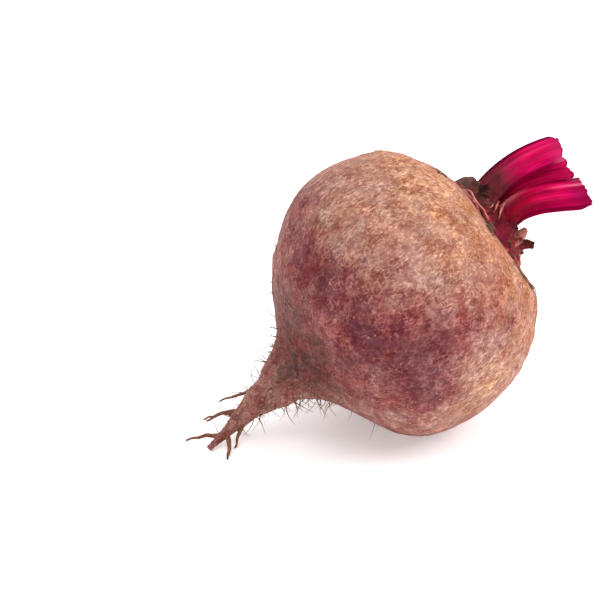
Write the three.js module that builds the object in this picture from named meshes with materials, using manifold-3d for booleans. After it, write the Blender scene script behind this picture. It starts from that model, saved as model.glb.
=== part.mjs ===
// A beetroot as sold with its leaves cut off: a swollen root lying on its side, propped by its
// taproot, with a corky crown of dried leaf bases and five cut leaf stalks.
//
// Units are millimetres. +Z is up, the crown leans towards +X and the root rests on z = 0.
// Every piece is built in the plant's own frame, whose z axis runs from taproot to crown and whose
// origin is the middle of the swell. One group then lays the plant on its side.

import * as THREE from "three";
import { mergeVertices } from "three/addons/utils/BufferGeometryUtils.js";
import Module from "manifold-3d";

const wasm = await Module();
wasm.setup();
const { cos, sin, PI, abs, min, max, exp, sqrt, hypot } = Math;

// ---------------------------------------------------------------- driving dimensions

const LIP_HEIGHT = 30.7; // from the middle of the swell to the shoulder's lip
const AXIS_ELEVATION = THREE.MathUtils.degToRad(32.7); // how far the crown points above the table
const REST_HEIGHT = 40.9; // from the table to the middle of the swell
const SWELL_AT = [3.8, 0.2]; // brings the middle of the bounding box over the origin
const GAP = 0.3; // clearance between pieces that touch

// The swell's outline from crown to taproot, as radius and height.
const SWELL_OUTLINE = [
  [19.6, 30.5],
  [25.0, 28.7],
  [31.2, 24.7],
  [36.7, 18.8],
  [40.6, 10.2],
  [42.0, 0.6],
  [41.0, -9.0],
  [37.6, -17.2],
  [32.2, -24.2],
  [25.4, -29.2],
  [18.0, -33.0],
  [12.2, -36.6],
  [8.6, -40.8],
  [6.2, -45.5],
];

const ROOT_SIDES = 64;
const ROOT_RINGS = 38;
const CROWN_RADIUS = 17.9; // of the corky crown, at the shoulder
const CROWN_SEAT = 26.6; // height of the seat that the crown stands in
const CROWN_TOP = 36.8;
const PIT_DEPTH = 3.4; // how far the stalks reach into the crown

const TAPROOT_RADIUS = 7.0; // where it leaves the swell
const TAPROOT_TIP_RADIUS = 0.9;
const SIDE_ROOTS = 8;
const SIDE_ROOT_LINES = [-25, 155].map(THREE.MathUtils.degToRad); // the two sides that bear them

const FAN_AZIMUTH = THREE.MathUtils.degToRad(-30.4); // the side of the plant to which the bundle leans
const TOOTH = 0.55; // how ragged the cut is

// ---------------------------------------------------------------- small helpers

const lerp = THREE.MathUtils.lerp;
const smooth = (x, from, to) => THREE.MathUtils.smoothstep((x - from) / (to - from), 0, 1);
const bump = (x, centre, width) => exp(-(((x - centre) / width) ** 2));
const deg = THREE.MathUtils.degToRad;

/** A repeatable stream of numbers from 0 to 1. */
function randomStream(seed) {
  let state = seed;
  return () => {
    state = (state * 1664525 + 1013904223) % 4294967296;
    return state / 4294967296;
  };
}

/** The signed difference of two angles, from -PI to PI. */
const turnBetween = (a, b) => Math.atan2(sin(a - b), cos(a - b));

/** Closes a stack of rings, each an equal number of points, with a point at either end. */
function skin(rings, firstPole, lastPole) {
  const sides = rings[0].length;
  const points = [firstPole, ...rings.flat(), lastPole];
  const last = points.length - 1;
  const at = (ring, side) => 1 + ring * sides + (side % sides);
  const faces = [];
  for (let side = 0; side < sides; side++) {
    faces.push(0, at(0, side + 1), at(0, side));
    faces.push(last, at(rings.length - 1, side), at(rings.length - 1, side + 1));
    for (let ring = 0; ring < rings.length - 1; ring++) {
      const [a, b] = [at(ring, side), at(ring, side + 1)];
      const [c, d] = [at(ring + 1, side + 1), at(ring + 1, side)];
      faces.push(a, b, c, a, c, d);
    }
  }
  const geometry = new THREE.BufferGeometry().setFromPoints(points);
  geometry.setIndex(faces);
  return geometry;
}

/** A closed geometry as a solid that can be joined and cut. */
function solidOf(geometry) {
  const bare = new THREE.BufferGeometry();
  bare.setAttribute("position", geometry.getAttribute("position"));
  bare.setIndex(geometry.getIndex());
  const merged = mergeVertices(bare, 1e-4);
  return new wasm.Manifold(
    new wasm.Mesh({
      numProp: 3,
      vertProperties: merged.attributes.position.array,
      triVerts: new Uint32Array(merged.index.array),
    }),
  );
}

const centreOf = (ring) => ring.reduce((sum, p) => sum.add(p), new THREE.Vector3()).divideScalar(ring.length);

/** The solid inside a stack of rings, whichever way round they run. */
function solidThrough(rings, firstPole = centreOf(rings[0]), lastPole = centreOf(rings.at(-1))) {
  const solid = solidOf(skin(rings, firstPole, lastPole));
  return solid.volume() > 0 ? solid : solidOf(skin([...rings].reverse(), lastPole, firstPole));
}

/** A solid as a named mesh in its own material. */
function meshOf(name, solid, material) {
  const { vertProperties, triVerts, numProp } = solid.getMesh();
  const positions = new Float32Array((vertProperties.length / numProp) * 3);
  for (let i = 0; i < positions.length / 3; i++) {
    positions.set(vertProperties.subarray(i * numProp, i * numProp + 3), i * 3);
  }
  const geometry = new THREE.BufferGeometry();
  geometry.setAttribute("position", new THREE.BufferAttribute(positions, 3));
  geometry.setIndex(new THREE.BufferAttribute(triVerts, 1));
  geometry.computeVertexNormals();
  const mesh = new THREE.Mesh(geometry, material);
  mesh.name = name;
  return mesh;
}

const material = (color, roughness) => new THREE.MeshStandardMaterial({ color, roughness, metalness: 0 });

// ---------------------------------------------------------------- where the plant lies

const plant = new THREE.Group();
plant.rotation.y = PI / 2 - AXIS_ELEVATION;
plant.position.set(...SWELL_AT, REST_HEIGHT);
plant.updateMatrixWorld(true);

/** A point above the table, measured from below the middle of the swell, in the plant's own frame. */
const inPlant = (x, y, z) => plant.worldToLocal(new THREE.Vector3(SWELL_AT[0] + x, SWELL_AT[1] + y, z));

/** Everything below the table, as a solid in the plant's own frame. */
function belowTable() {
  const size = 300;
  const block = new THREE.BoxGeometry(size, size, size);
  block.translate(0, 0, -size / 2);
  block.applyMatrix4(plant.matrixWorld.clone().invert());
  block.deleteAttribute("normal");
  block.deleteAttribute("uv");
  return solidOf(block);
}

// ---------------------------------------------------------------- the swollen root

const swellOutline = new THREE.SplineCurve(SWELL_OUTLINE.map(([r, z]) => new THREE.Vector2(r, z)));

const FRONT = deg(-120); // the side with the clearest base fold
const FULL_SIDE = deg(-18); // the side where base and shoulder are fullest

/** How far the swell's surface stands out from its outline at a height and an azimuth. */
function swellRelief(z, azimuth) {
  const belly = smooth(z, 33, 14) * smooth(z, -37, -22);
  const fromFan = azimuth - FAN_AZIMUTH;
  const lobes = 0.6 * sin(2 * fromFan) + 0.4 * sin(3 * fromFan) + 0.25 * sin(5 * fromFan);
  const rings = 0.13 * sin(z * 1.45 + 0.8 * cos(azimuth + 0.4)) * smooth(z, 4, 20);
  const foldHeight = -24.9 + 1.6 * cos(azimuth - deg(150));
  const fold = 0.75 * bump(z, foldHeight, 1.7) - 0.7 * bump(z, foldHeight - 3.6, 2.0);
  const foldStrength = 0.35 + 0.65 * bump(turnBetween(azimuth, FRONT), 0, 1.3);
  const fullness = cos(azimuth - FULL_SIDE) * (2.4 * bump(z, -22, 10) + 1.3 * bump(z, 27, 6));
  const topShoulder = bump(turnBetween(azimuth, deg(180)), 0, 0.5);
  const shoulders = 1.7 * lowShoulder(z, azimuth, 2.2) + 1.35 * topShoulder * bump(z, 21, 4.5);
  const rootLine = -0.8 * sideLine(azimuth) * smooth(z, -4, -20) * smooth(z, -39, -30);
  return belly * lobes + rings + fold * foldStrength + fullness + shoulders + rootLine;
}

/** 1 where the shoulder is fullest, beside the lowest part of the lip, falling off over `height`. */
const lowShoulder = (z, azimuth, height) =>
  bump(turnBetween(azimuth, deg(-62)), 0, 0.45) * bump(z, 28.7, height) * smooth(z, 30.4, 29);

/** 1 along the two opposite lines where side roots grow, 0 elsewhere. */
function sideLine(azimuth) {
  const near = min(...SIDE_ROOT_LINES.map((line) => abs(turnBetween(azimuth, line))));
  return bump(near, 0, 0.13);
}

/** How far the shoulder's lip stands above or below its usual height. */
const lipDip = (azimuth) =>
  0.3 * cos(azimuth - deg(150)) - 1.7 * bump(turnBetween(azimuth, deg(-112)), 0, 0.85);

/** The lip of the shoulder isn't a true circle. */
const crownOutline = (azimuth) =>
  CROWN_RADIUS * (1 + 0.03 * cos(2 * azimuth + 1.1) + 0.02 * cos(3 * azimuth + 0.3)) +
  0.8 * cos(azimuth - deg(-30)) +
  0.2 * cos(7 * azimuth);

function ringAt(sides, radiusOf, heightOf) {
  return Array.from({ length: sides }, (_, side) => {
    const azimuth = (-2 * PI * side) / sides;
    const radius = radiusOf(azimuth);
    return new THREE.Vector3(radius * cos(azimuth), radius * sin(azimuth), heightOf(azimuth));
  });
}

function swell() {
  const rings = [
    ringAt(ROOT_SIDES, crownOutline, () => CROWN_SEAT),
    ringAt(ROOT_SIDES, crownOutline, (a) => LIP_HEIGHT - 1.1 + lipDip(a)),
    ringAt(ROOT_SIDES, (a) => crownOutline(a) + 0.7, (a) => LIP_HEIGHT + lipDip(a)),
  ];
  for (let ring = 0; ring < ROOT_RINGS; ring++) {
    const { x: radius, y: z } = swellOutline.getPoint(ring / (ROOT_RINGS - 1));
    const level = (a) => z + smooth(z, 20, LIP_HEIGHT) * lipDip(a) + 0.9 * lowShoulder(z, a, 1.7);
    rings.push(ringAt(ROOT_SIDES, (a) => radius + swellRelief(z, a), level));
  }
  return solidThrough(rings);
}

/** A tapering root along a curve: `radiusAt` gives its radius from 0 at the start to 1 at the end. */
function taperedRoot(curve, radiusAt, sides, steps) {
  const frames = curve.computeFrenetFrames(steps, false);
  const rings = [];
  for (let step = 0; step <= steps; step++) {
    const along = step / steps;
    const centre = curve.getPointAt(along);
    rings.push(
      Array.from({ length: sides }, (_, side) => {
        const turn = (2 * PI * side) / sides;
        const radius = radiusAt(along, turn);
        return centre
          .clone()
          .addScaledVector(frames.normals[step], radius * cos(turn))
          .addScaledVector(frames.binormals[step], radius * sin(turn));
      }),
    );
  }
  return solidThrough(rings);
}

// The taproot leaves the base along the axis, droops and lies on the table at its tip.
const taprootLine = new THREE.CatmullRomCurve3([
  new THREE.Vector3(0, 0, -36),
  new THREE.Vector3(0, 0, -42),
  inPlant(-38.6, 0.3, 15.2),
  inPlant(-43.6, 1.2, 11.4),
  inPlant(-48.6, 1.3, 7.0),
  inPlant(-53.6, -0.1, 3.6),
  inPlant(-59.6, -3.1, 0.9),
]);

function taproot() {
  const radiusAt = (along, turn) => {
    const taper = lerp(TAPROOT_RADIUS, TAPROOT_TIP_RADIUS, Math.pow(smooth(along, 0.16, 1.0), 0.7));
    return taper * (1 + 0.05 * cos(2 * turn + 9 * along) + 0.04 * sin(31 * along));
  };
  return taperedRoot(taprootLine, radiusAt, 16, 20);
}

/** Thin side roots along two opposite lines, each starting inside the taproot. */
function sideRoots() {
  const random = randomStream(31);
  return Array.from({ length: SIDE_ROOTS }, (_, i) => {
    const along = lerp(0.18, 0.9, (i + random()) / SIDE_ROOTS);
    const start = taprootLine.getPointAt(along);
    const azimuth = SIDE_ROOT_LINES[i % 2] + 2.0 * (random() - 0.5);
    const length = lerp(10, 5, along) * (0.4 + random());
    const reach = lerp(6.5, 1.2, along) + length;
    const out = new THREE.Vector3(cos(azimuth), sin(azimuth), -1.3 * random()).normalize();
    const tangent = taprootLine.getTangentAt(along);
    const end = start.clone().addScaledVector(out, reach).addScaledVector(tangent, 1.1 * length * random());
    const middle = start.clone().lerp(end, 0.55).addScaledVector(tangent, -0.35 * length * random());
    const line = new THREE.CatmullRomCurve3([start, middle, end]);
    const thick = 0.7 + 0.35 * random();
    return taperedRoot(line, (t) => thick * lerp(1, 0.45, t), 6, 6);
  });
}

function rootSolid() {
  return [taproot(), ...sideRoots()].reduce((body, piece) => body.add(piece), swell()).subtract(belowTable());
}

// ---------------------------------------------------------------- the bundle of leaf stalks

// The bundle's centre line in the plane of its lean: distance towards FAN_AZIMUTH, and height.
const bundleLine = new THREE.CatmullRomCurve3(
  [
    [-2.6, CROWN_TOP - PIT_DEPTH],
    [-3.2, 38.0],
    [-3.5, 43.5],
    [-2.5, 49.5],
    [-0.4, 55.3],
    [2.5, 61.3],
  ].map(([lean, z]) => new THREE.Vector3(lean * cos(FAN_AZIMUTH), lean * sin(FAN_AZIMUTH), z)),
);
const fanSide = new THREE.Vector3(cos(FAN_AZIMUTH), sin(FAN_AZIMUTH), 0);
const fanBack = new THREE.Vector3(-sin(FAN_AZIMUTH), cos(FAN_AZIMUTH), 0);

/** Half the bundle's width and depth, from 0 at its foot to 1 at the cut. */
const bundleHalfWidth = (along) => lerp(9.0, 12.2, smooth(along, 0.05, 1.0));
const bundleHalfDepth = (along) => lerp(6.5, 7.6, along);

/** A point across the bundle, in shares of its half width and half depth. */
function inBundle(along, share, azimuth, lift) {
  const centre = bundleLine.getPointAt(min(along, 1));
  const forward = bundleLine.getTangentAt(min(along, 1));
  const side = new THREE.Vector3().crossVectors(fanBack, forward).normalize();
  return centre
    .addScaledVector(side, share * bundleHalfWidth(along) * cos(azimuth))
    .addScaledVector(fanBack, share * bundleHalfDepth(along) * sin(azimuth))
    .addScaledVector(forward, lift);
}

// Each stalk keeps to its own sector of the bundle: [from, to] in degrees at the foot and at the end,
// and [inner, outer] in shares of the bundle. Its cut rises by `slant` across the fan and is set
// `back` from the bundle's end. Ribs run along its outer face.
const STALKS = {
  stalk_upper_front: {
    foot: [150, 267],
    end: [164, 250],
    band: [0.5, 1],
    slant: 0.09,
    back: 2.3,
    ribs: 6,
    seed: 3,
  },
  stalk_lower_front: {
    foot: [273, 372],
    end: [283, 362],
    band: [0.48, 1],
    slant: 0.36,
    back: 0,
    ribs: 5,
    seed: 8,
  },
  stalk_upper_back: {
    foot: [92, 144],
    end: [96, 150],
    band: [0.5, 0.98],
    slant: 0.2,
    back: 1.4,
    ribs: 4,
    seed: 5,
  },
  stalk_lower_back: {
    foot: [18, 86],
    end: [20, 84],
    band: [0.5, 1],
    slant: 0.25,
    back: 0.5,
    ribs: 4,
    seed: 12,
  },
  stalk_inner: {
    foot: [-180, 180],
    end: [-180, 180],
    band: [0, 0.4],
    slant: 0.29,
    back: 0.5,
    ribs: 5,
    seed: 15,
  },
};
const STALK_SIDES = 26;
const STALK_STEPS = 12;

/** One point of a stalk's skin: `turn` goes round its section, `along` from foot to cut. */
function stalkPoint({ foot, end, band, ribs }, along, turn, lift) {
  const whole = band[0] === 0;
  const from = lerp(foot[0], end[0], along);
  const to = lerp(foot[1], end[1], along);
  if (whole) {
    const ribbed = band[1] * (1 + 0.07 * cos(ribs * turn)) * lerp(0.8, 1, along);
    return inBundle(along, ribbed, turn, lift);
  }
  const across = Math.sign(cos(turn)) * Math.pow(abs(cos(turn)), 0.85);
  const azimuth = deg((from + to) / 2 + ((to - from) / 2) * across);
  const middle = lerp(0.62, 0.48, sqrt(max(sin(turn), 0))) * (band[0] + band[1]);
  const reach = sin(turn) > 0 ? band[1] - middle : middle - band[0];
  const outerRib = sin(turn) > 0 ? 0.035 * cos(ribs * PI * across) * sin(turn) : 0;
  const share = middle + reach * Math.sign(sin(turn)) * Math.pow(abs(sin(turn)), 0.75);
  return inBundle(along, share - 0.02 + outerRib * lerp(0.5, 1, along), azimuth, lift);
}

function stalk(shape) {
  const random = randomStream(shape.seed);
  const teeth = Array.from({ length: STALK_SIDES }, () => TOOTH * (2 * random() - 1));
  const rings = [];
  for (let step = 0; step <= STALK_STEPS; step++) {
    const along = step / STALK_STEPS;
    const ring = [];
    for (let side = 0; side < STALK_SIDES; side++) {
      const turn = (2 * PI * side) / STALK_SIDES;
      const flat = stalkPoint(shape, along, turn, 0);
      const lean = flat.clone().sub(bundleLine.getPointAt(along)).dot(fanSide);
      const cut = along ** 2 * (shape.slant * lean - shape.back) + along ** 6 * teeth[side];
      ring.push(stalkPoint(shape, along, turn, cut));
    }
    rings.push(ring);
  }
  const hollow = bundleLine.getTangentAt(1).multiplyScalar(-0.9);
  return solidThrough(rings, centreOf(rings[0]), centreOf(rings.at(-1)).add(hollow));
}

// ---------------------------------------------------------------- the corky crown

const CROWN_SIDES = 56;
const BASE_SIDES = 48;

/** The crown's outline from its edge to the foot of the stalks, as share of its radius and height. */
const CROWN_OUTLINE = [
  [1.0, 29.6],
  [0.97, 30.4],
  [0.92, 31.0],
  [0.86, 31.7],
  [0.8, 32.5],
  [0.74, 33.4],
  [0.68, 34.4],
  [0.62, 35.3],
  [0.55, 36.2],
  [0.46, CROWN_TOP],
];

/** Rims of old leaf scars: crescents set round the crown by the golden angle. */
function scarRelief(radius, azimuth) {
  const goldenAngle = PI * (3 - sqrt(5));
  let relief = 0;
  for (let scar = 0; scar < 26; scar++) {
    const scarRadius = 6.5 + 2.25 * sqrt(scar);
    const scarAzimuth = scar * goldenAngle;
    const outward = radius - scarRadius;
    const around = turnBetween(azimuth, scarAzimuth) * scarRadius;
    const reach = hypot(outward, around * 0.55);
    relief += 0.75 * bump(reach, 2.2, 0.75) * smooth(outward, -1.2, 1.2);
  }
  return min(relief, 1.0);
}

/** The crown's radius at a share of its outline. Its middle follows the foot of the stalks. */
const crownRadius = (azimuth, share) =>
  (crownOutline(azimuth) - GAP) * share - 2.6 * (1 - share) * cos(azimuth - FAN_AZIMUTH);

function crownBase() {
  const rings = CROWN_OUTLINE.map(([share, z]) => {
    const ring = ringAt(CROWN_SIDES, (a) => crownRadius(a, share), (a) => z + share * lipDip(a));
    ring.forEach((p) => {
      p.z += share < 1 ? scarRelief(hypot(p.x, p.y), Math.atan2(p.y, p.x)) : 0;
    });
    return ring;
  });
  const underside = ringAt(CROWN_SIDES, (a) => crownRadius(a, 1), () => CROWN_SEAT + GAP);
  return solidThrough([underside, ...rings]);
}

/** The flared bases with which the stalks clasp the crown: a low collar, lowest on its sunny side. */
function leafBases() {
  const rings = [0, 0.25, 0.5, 0.75, 1].map((t) =>
    Array.from({ length: BASE_SIDES }, (_, side) => {
      const turn = (2 * PI * side) / BASE_SIDES;
      const azimuth = turn + FAN_AZIMUTH;
      const radius = crownRadius(azimuth, 0.86);
      const level = crownLevel(0.86 * CROWN_RADIUS) + 0.86 * lipDip(azimuth) - 0.8;
      const start = new THREE.Vector3(radius * cos(azimuth), radius * sin(azimuth), level);
      const top = 0.17 - 0.08 * bump(turnBetween(azimuth, deg(-72)), 0, 0.7) + 0.02 * sin(5 * turn);
      const bend = inBundle(0.06, 1.12, turn, 0);
      return start
        .multiplyScalar((1 - t) ** 2)
        .addScaledVector(bend, 2 * t * (1 - t))
        .addScaledVector(inBundle(top, 1.14, turn, 0), t * t);
    }),
  );
  return solidThrough(rings);
}

/** The hollow in the crown and its collar in which the stalks stand, which leans as they do. */
function stalkPit() {
  const rings = [-GAP, 0, 1.5, 3, 4.5, 6, 8].map((rise) => {
    const along = max(rise, 0) / bundleLine.getLength();
    const centre = bundleLine.getPointAt(along);
    return Array.from({ length: 32 }, (_, side) => {
      const out = inBundle(along, 1, (2 * PI * side) / 32, 0).sub(centre);
      const clear = out.setLength(out.length() + GAP + 0.12);
      return clear.add(centre).add(new THREE.Vector3(0, 0, min(rise, 0)));
    });
  });
  return solidThrough(rings);
}

// Dried stumps of earlier leaves: where each stands on the crown, its size and how it curls outward.
const STUMPS = [
  { azimuth: 152, radius: 13.0, width: 8.4, height: 3.4, thick: 5.2, curl: 0.3, twist: 0 },
  { azimuth: 186, radius: 13.8, width: 4.6, height: 2.8, thick: 1.5, curl: 1.2, twist: 12 },
  { azimuth: -30, radius: 10.4, width: 4.2, height: 4.3, thick: 3.0, curl: 2.6, twist: -14 },
  { azimuth: -60, radius: 9.8, width: 2.6, height: 3.6, thick: 2.2, curl: -0.9, twist: 20 },
  { azimuth: -68, radius: 11.4, width: 2.0, height: 1.5, thick: 1.4, curl: 0.5, twist: -20 },
  { azimuth: 8, radius: 13.4, width: 5.6, height: 4.2, thick: 1.5, curl: 1.8, twist: 8 },
  { azimuth: 46, radius: 12.6, width: 6.4, height: 5.6, thick: 1.6, curl: 1.4, twist: -6 },
  { azimuth: 92, radius: 12.2, width: 6.8, height: 6.2, thick: 1.6, curl: 2.2, twist: 10 },
  { azimuth: 120, radius: 14.0, width: 4.4, height: 3.4, thick: 1.3, curl: 1.2, twist: -10 },
];

/** A curled tongue with a crescent section, sunk into the crown at its foot. */
function stump({ azimuth, radius, width, height, thick, curl, twist }) {
  const out = new THREE.Vector3(cos(deg(azimuth)), sin(deg(azimuth)), 0);
  const level = crownLevel(radius);
  const acrossAzimuth = deg(azimuth + 90 + twist);
  const across = new THREE.Vector3(cos(acrossAzimuth), sin(acrossAzimuth), 0);
  const thickness = new THREE.Vector3().crossVectors(across, new THREE.Vector3(0, 0, 1)).normalize();
  const random = randomStream(Math.round(azimuth) + 400);
  const sides = 10;
  const sunk = 2.2;
  const rings = [0, 0.3, 0.55, 0.8, 1].map((along) => {
    const rise = along * (height + sunk) - sunk;
    const lean = curl * max(rise / height, 0) ** 2;
    const centre = out.clone().multiplyScalar(radius + lean).setZ(level + rise - 0.25 * lean);
    return Array.from({ length: sides }, (_, side) => {
      const turn = (2 * PI * side) / sides;
      const half = (width / 2) * lerp(1.1, 0.82, along);
      const u = half * cos(turn);
      const v = (thick / 2) * sin(turn) * lerp(1.2, 0.8, along) - 0.09 * u * u;
      const ragged = along === 1 ? 0.8 * (random() - 0.5) : 0;
      return centre.clone().addScaledVector(across, u).addScaledVector(thickness, v).setZ(centre.z + ragged);
    });
  });
  return solidThrough(rings);
}

/** Height of the crown's slope at a distance from the axis. */
function crownLevel(radius) {
  const share = radius / CROWN_RADIUS;
  const upper = CROWN_OUTLINE.findIndex(([s], i) => i > 1 && s <= share);
  if (upper < 0) return CROWN_TOP;
  const [s1, z1] = CROWN_OUTLINE[upper];
  const [s0, z0] = CROWN_OUTLINE[upper - 1];
  return lerp(z0, z1, (s0 - share) / max(s0 - s1, 1e-6));
}

function crownSolid() {
  return [leafBases(), ...STUMPS.map(stump)]
    .reduce((body, piece) => body.add(piece), crownBase())
    .subtract(stalkPit());
}

// ---------------------------------------------------------------- the beetroot

plant.add(meshOf("swollen_root", rootSolid(), material(0x9a5f55, 0.75)));
plant.add(meshOf("crown", crownSolid(), material(0x5a3a33, 0.9)));
for (const [name, shape] of Object.entries(STALKS)) {
  plant.add(meshOf(name, stalk(shape), material(0xc4154f, 0.4)));
}

const beetroot = new THREE.Group();
beetroot.add(plant);

export default beetroot;
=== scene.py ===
# A beetroot lying on its side: corky tan skin over burgundy, a rough crown of dried leaf bases and
# five cut magenta leaf stalks.
#
# Sizes are in millimetres in the plant's own frame, whose z axis runs from taproot to crown and whose
# origin is the middle of the swell. `at_rest` lays them on the table and turns them into metres.

from math import atan, cos, pi, radians, sin, sqrt

import bpy
import numpy as np
from mathutils import Matrix, Vector, noise


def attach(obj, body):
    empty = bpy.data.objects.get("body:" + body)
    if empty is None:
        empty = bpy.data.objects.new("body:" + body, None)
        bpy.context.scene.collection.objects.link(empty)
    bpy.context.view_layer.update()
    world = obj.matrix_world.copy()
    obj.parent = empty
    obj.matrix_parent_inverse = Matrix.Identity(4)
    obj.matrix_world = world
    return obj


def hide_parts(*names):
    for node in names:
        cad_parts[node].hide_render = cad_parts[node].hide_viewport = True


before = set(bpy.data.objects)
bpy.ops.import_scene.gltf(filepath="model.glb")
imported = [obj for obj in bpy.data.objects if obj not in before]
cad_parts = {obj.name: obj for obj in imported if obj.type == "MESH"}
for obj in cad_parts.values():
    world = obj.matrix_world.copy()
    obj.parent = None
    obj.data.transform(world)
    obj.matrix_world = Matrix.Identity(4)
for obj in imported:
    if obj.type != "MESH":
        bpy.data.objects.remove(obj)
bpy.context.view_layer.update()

# ---------------------------------------------------------------- driving dimensions

AXIS_ELEVATION = radians(32.7)
SWELL_AT = np.array([3.8, 0.2, 40.9])
MM = 0.001

SWELL_OUTLINE = [
    (19.6, 30.5),
    (25.0, 28.7),
    (31.2, 24.7),
    (36.7, 18.8),
    (40.6, 10.2),
    (42.0, 0.6),
    (41.0, -9.0),
    (37.6, -17.2),
    (32.2, -24.2),
    (25.4, -29.2),
    (18.0, -33.0),
    (12.2, -36.6),
    (8.6, -40.8),
    (6.2, -45.5),
]
LIP_HEIGHT = 30.7
CROWN_RADIUS = 17.9
CROWN_SEAT = 26.6
CROWN_TOP = 36.8
CROWN_OUTLINE = [
    (1.0, 29.6),
    (0.97, 30.4),
    (0.92, 31.0),
    (0.86, 31.7),
    (0.8, 32.5),
    (0.74, 33.4),
    (0.68, 34.4),
    (0.62, 35.3),
    (0.55, 36.2),
    (0.46, CROWN_TOP),
]
GAP = 0.3

TAPROOT_RADIUS = 7.0
TAPROOT_TIP_RADIUS = 0.9
TAPROOT_START = -36.0
TAPROOT_BEND = -42.0
TAPROOT_COURSE = [
    (-38.6, 0.3, 15.2),
    (-43.6, 1.2, 11.4),
    (-48.6, 1.3, 7.0),
    (-53.6, -0.1, 3.6),
    (-59.6, -3.1, 0.9),
]

FAN_AZIMUTH = radians(-30.4)
FRONT = radians(-120)
FULL_SIDE = radians(-18)
HIGH_SIDE = radians(150)
CROWN_FULL_SIDE = radians(-30)

# ---------------------------------------------------------------- numbers along and round the plant


def smooth(x, start, end):
    """0 before the start, 1 after the end and an even rise between them."""
    t = np.clip((x - start) / (end - start), 0, 1)
    return t * t * (3 - 2 * t)


def bump(x, centre, width):
    """1 at the centre, falling off on both sides over a width."""
    return np.exp(-(((x - centre) / width) ** 2))


def mix(a, b, t):
    """A share t of the way from a to b."""
    return a + (b - a) * t


def turn_between(a, b):
    """The angle from b to a, the short way round."""
    return np.arctan2(np.sin(a - b), np.cos(a - b))


def facing(azimuth, side, width):
    """1 on one side of the plant, falling off over a width in radians."""
    return bump(turn_between(azimuth, side), 0, width)


def even_turns(sides):
    """Angles evenly round a circle."""
    return np.linspace(0, 2 * pi, sides, endpoint=False)


def round_axis(radius, azimuth, z):
    """Points given by their distance from the plant's axis, their azimuth and their height."""
    return np.column_stack(np.broadcast_arrays(radius * np.cos(azimuth), radius * np.sin(azimuth), z))


def heading(azimuth):
    """The unit vector that points straight out from the axis on one side."""
    return np.array([cos(azimuth), sin(azimuth), 0])


TILT = pi / 2 - AXIS_ELEVATION
LAY_DOWN = np.array([[cos(TILT), 0, sin(TILT)], [0, 1, 0], [-sin(TILT), 0, cos(TILT)]])


def at_rest(points):
    """Points of the plant's own frame, in millimetres, laid on the table, in metres."""
    return (np.asarray(points, float) @ LAY_DOWN.T + SWELL_AT) * MM


def in_plant(points):
    """The other way round, from metres on the table to the plant's own millimetres."""
    return (np.asarray(points, float) / MM - SWELL_AT) @ LAY_DOWN


def part_way(t, a, b, start, stop):
    """As far from a to b as t is from the start to the stop."""
    return (stop - t) / (stop - start) * a + (t - start) / (stop - start) * b


def smooth_line(points, samples):
    """A Catmull-Rom line through points, sampled at even distances."""
    p = [np.asarray(q, float) for q in points]
    p = [2 * p[0] - p[1], *p, 2 * p[-1] - p[-2]]
    dense = []
    for a, b, c, d in zip(p, p[1:], p[2:], p[3:]):
        t1 = np.linalg.norm(b - a) ** 0.5
        t2 = t1 + np.linalg.norm(c - b) ** 0.5
        t3 = t2 + np.linalg.norm(d - c) ** 0.5
        t = np.linspace(t1, t2, 60, endpoint=False)[:, None]
        ab, bc, cd = part_way(t, a, b, 0, t1), part_way(t, b, c, t1, t2), part_way(t, c, d, t2, t3)
        dense.append(part_way(t, part_way(t, ab, bc, 0, t2), part_way(t, bc, cd, t1, t3), t1, t2))
    dense = np.vstack([*dense, p[-2]])
    reach = np.concatenate([[0], np.cumsum(np.linalg.norm(np.diff(dense, axis=0), axis=1))])
    even = np.linspace(0, reach[-1], samples)
    return np.column_stack([np.interp(even, reach, dense[:, k]) for k in range(dense.shape[1])])


def across_line(line):
    """Two unit vectors square to a line at each of its points, without twist."""
    ahead = np.gradient(line, axis=0)
    ahead /= np.linalg.norm(ahead, axis=1)[:, None]
    side = np.cross(ahead[0], [0.0, 1.0, 0.0])
    sides = []
    for direction in ahead:
        side = side - direction * (side @ direction)
        side /= np.linalg.norm(side)
        sides.append(side)
    sides = np.array(sides)
    return ahead, sides, np.cross(ahead, sides)


def uneven(points, size, seed):
    """Soft noise of about -1 to 1 at points, with bumps of the given size in millimetres."""
    shift = Vector((seed * 17.3, seed * 5.1, -seed * 9.7))
    return np.array([noise.noise(Vector(p) / size + shift) for p in points])


# ---------------------------------------------------------------- meshes


def mesh_object(name, points, faces, material):
    """A smooth mesh. A face that names a point twice is a triangle. Faces are turned outwards."""
    points = at_rest(points)
    if volume_of(points, np.asarray(faces)) < 0:
        faces = np.asarray(faces)[:, ::-1]
    corners = [list(dict.fromkeys(face)) for face in np.asarray(faces).tolist()]
    mesh = bpy.data.meshes.new(name)
    mesh.from_pydata(points.tolist(), [], corners)
    mesh.shade_smooth()
    if material:
        mesh.materials.append(material)
    mesh.update()
    return in_scene(name, mesh)


def in_scene(name, data):
    """A new object, in the scene."""
    made = bpy.data.objects.new(name, data)
    bpy.context.scene.collection.objects.link(made)
    return made


def volume_of(points, faces):
    """Six times the volume that four-cornered faces enclose, negative if they face inwards."""
    a, b, c, d = (points[faces[:, k]] for k in range(4))
    return (np.cross(b - a, c - a) * a + np.cross(c - a, d - a) * a).sum()


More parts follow.
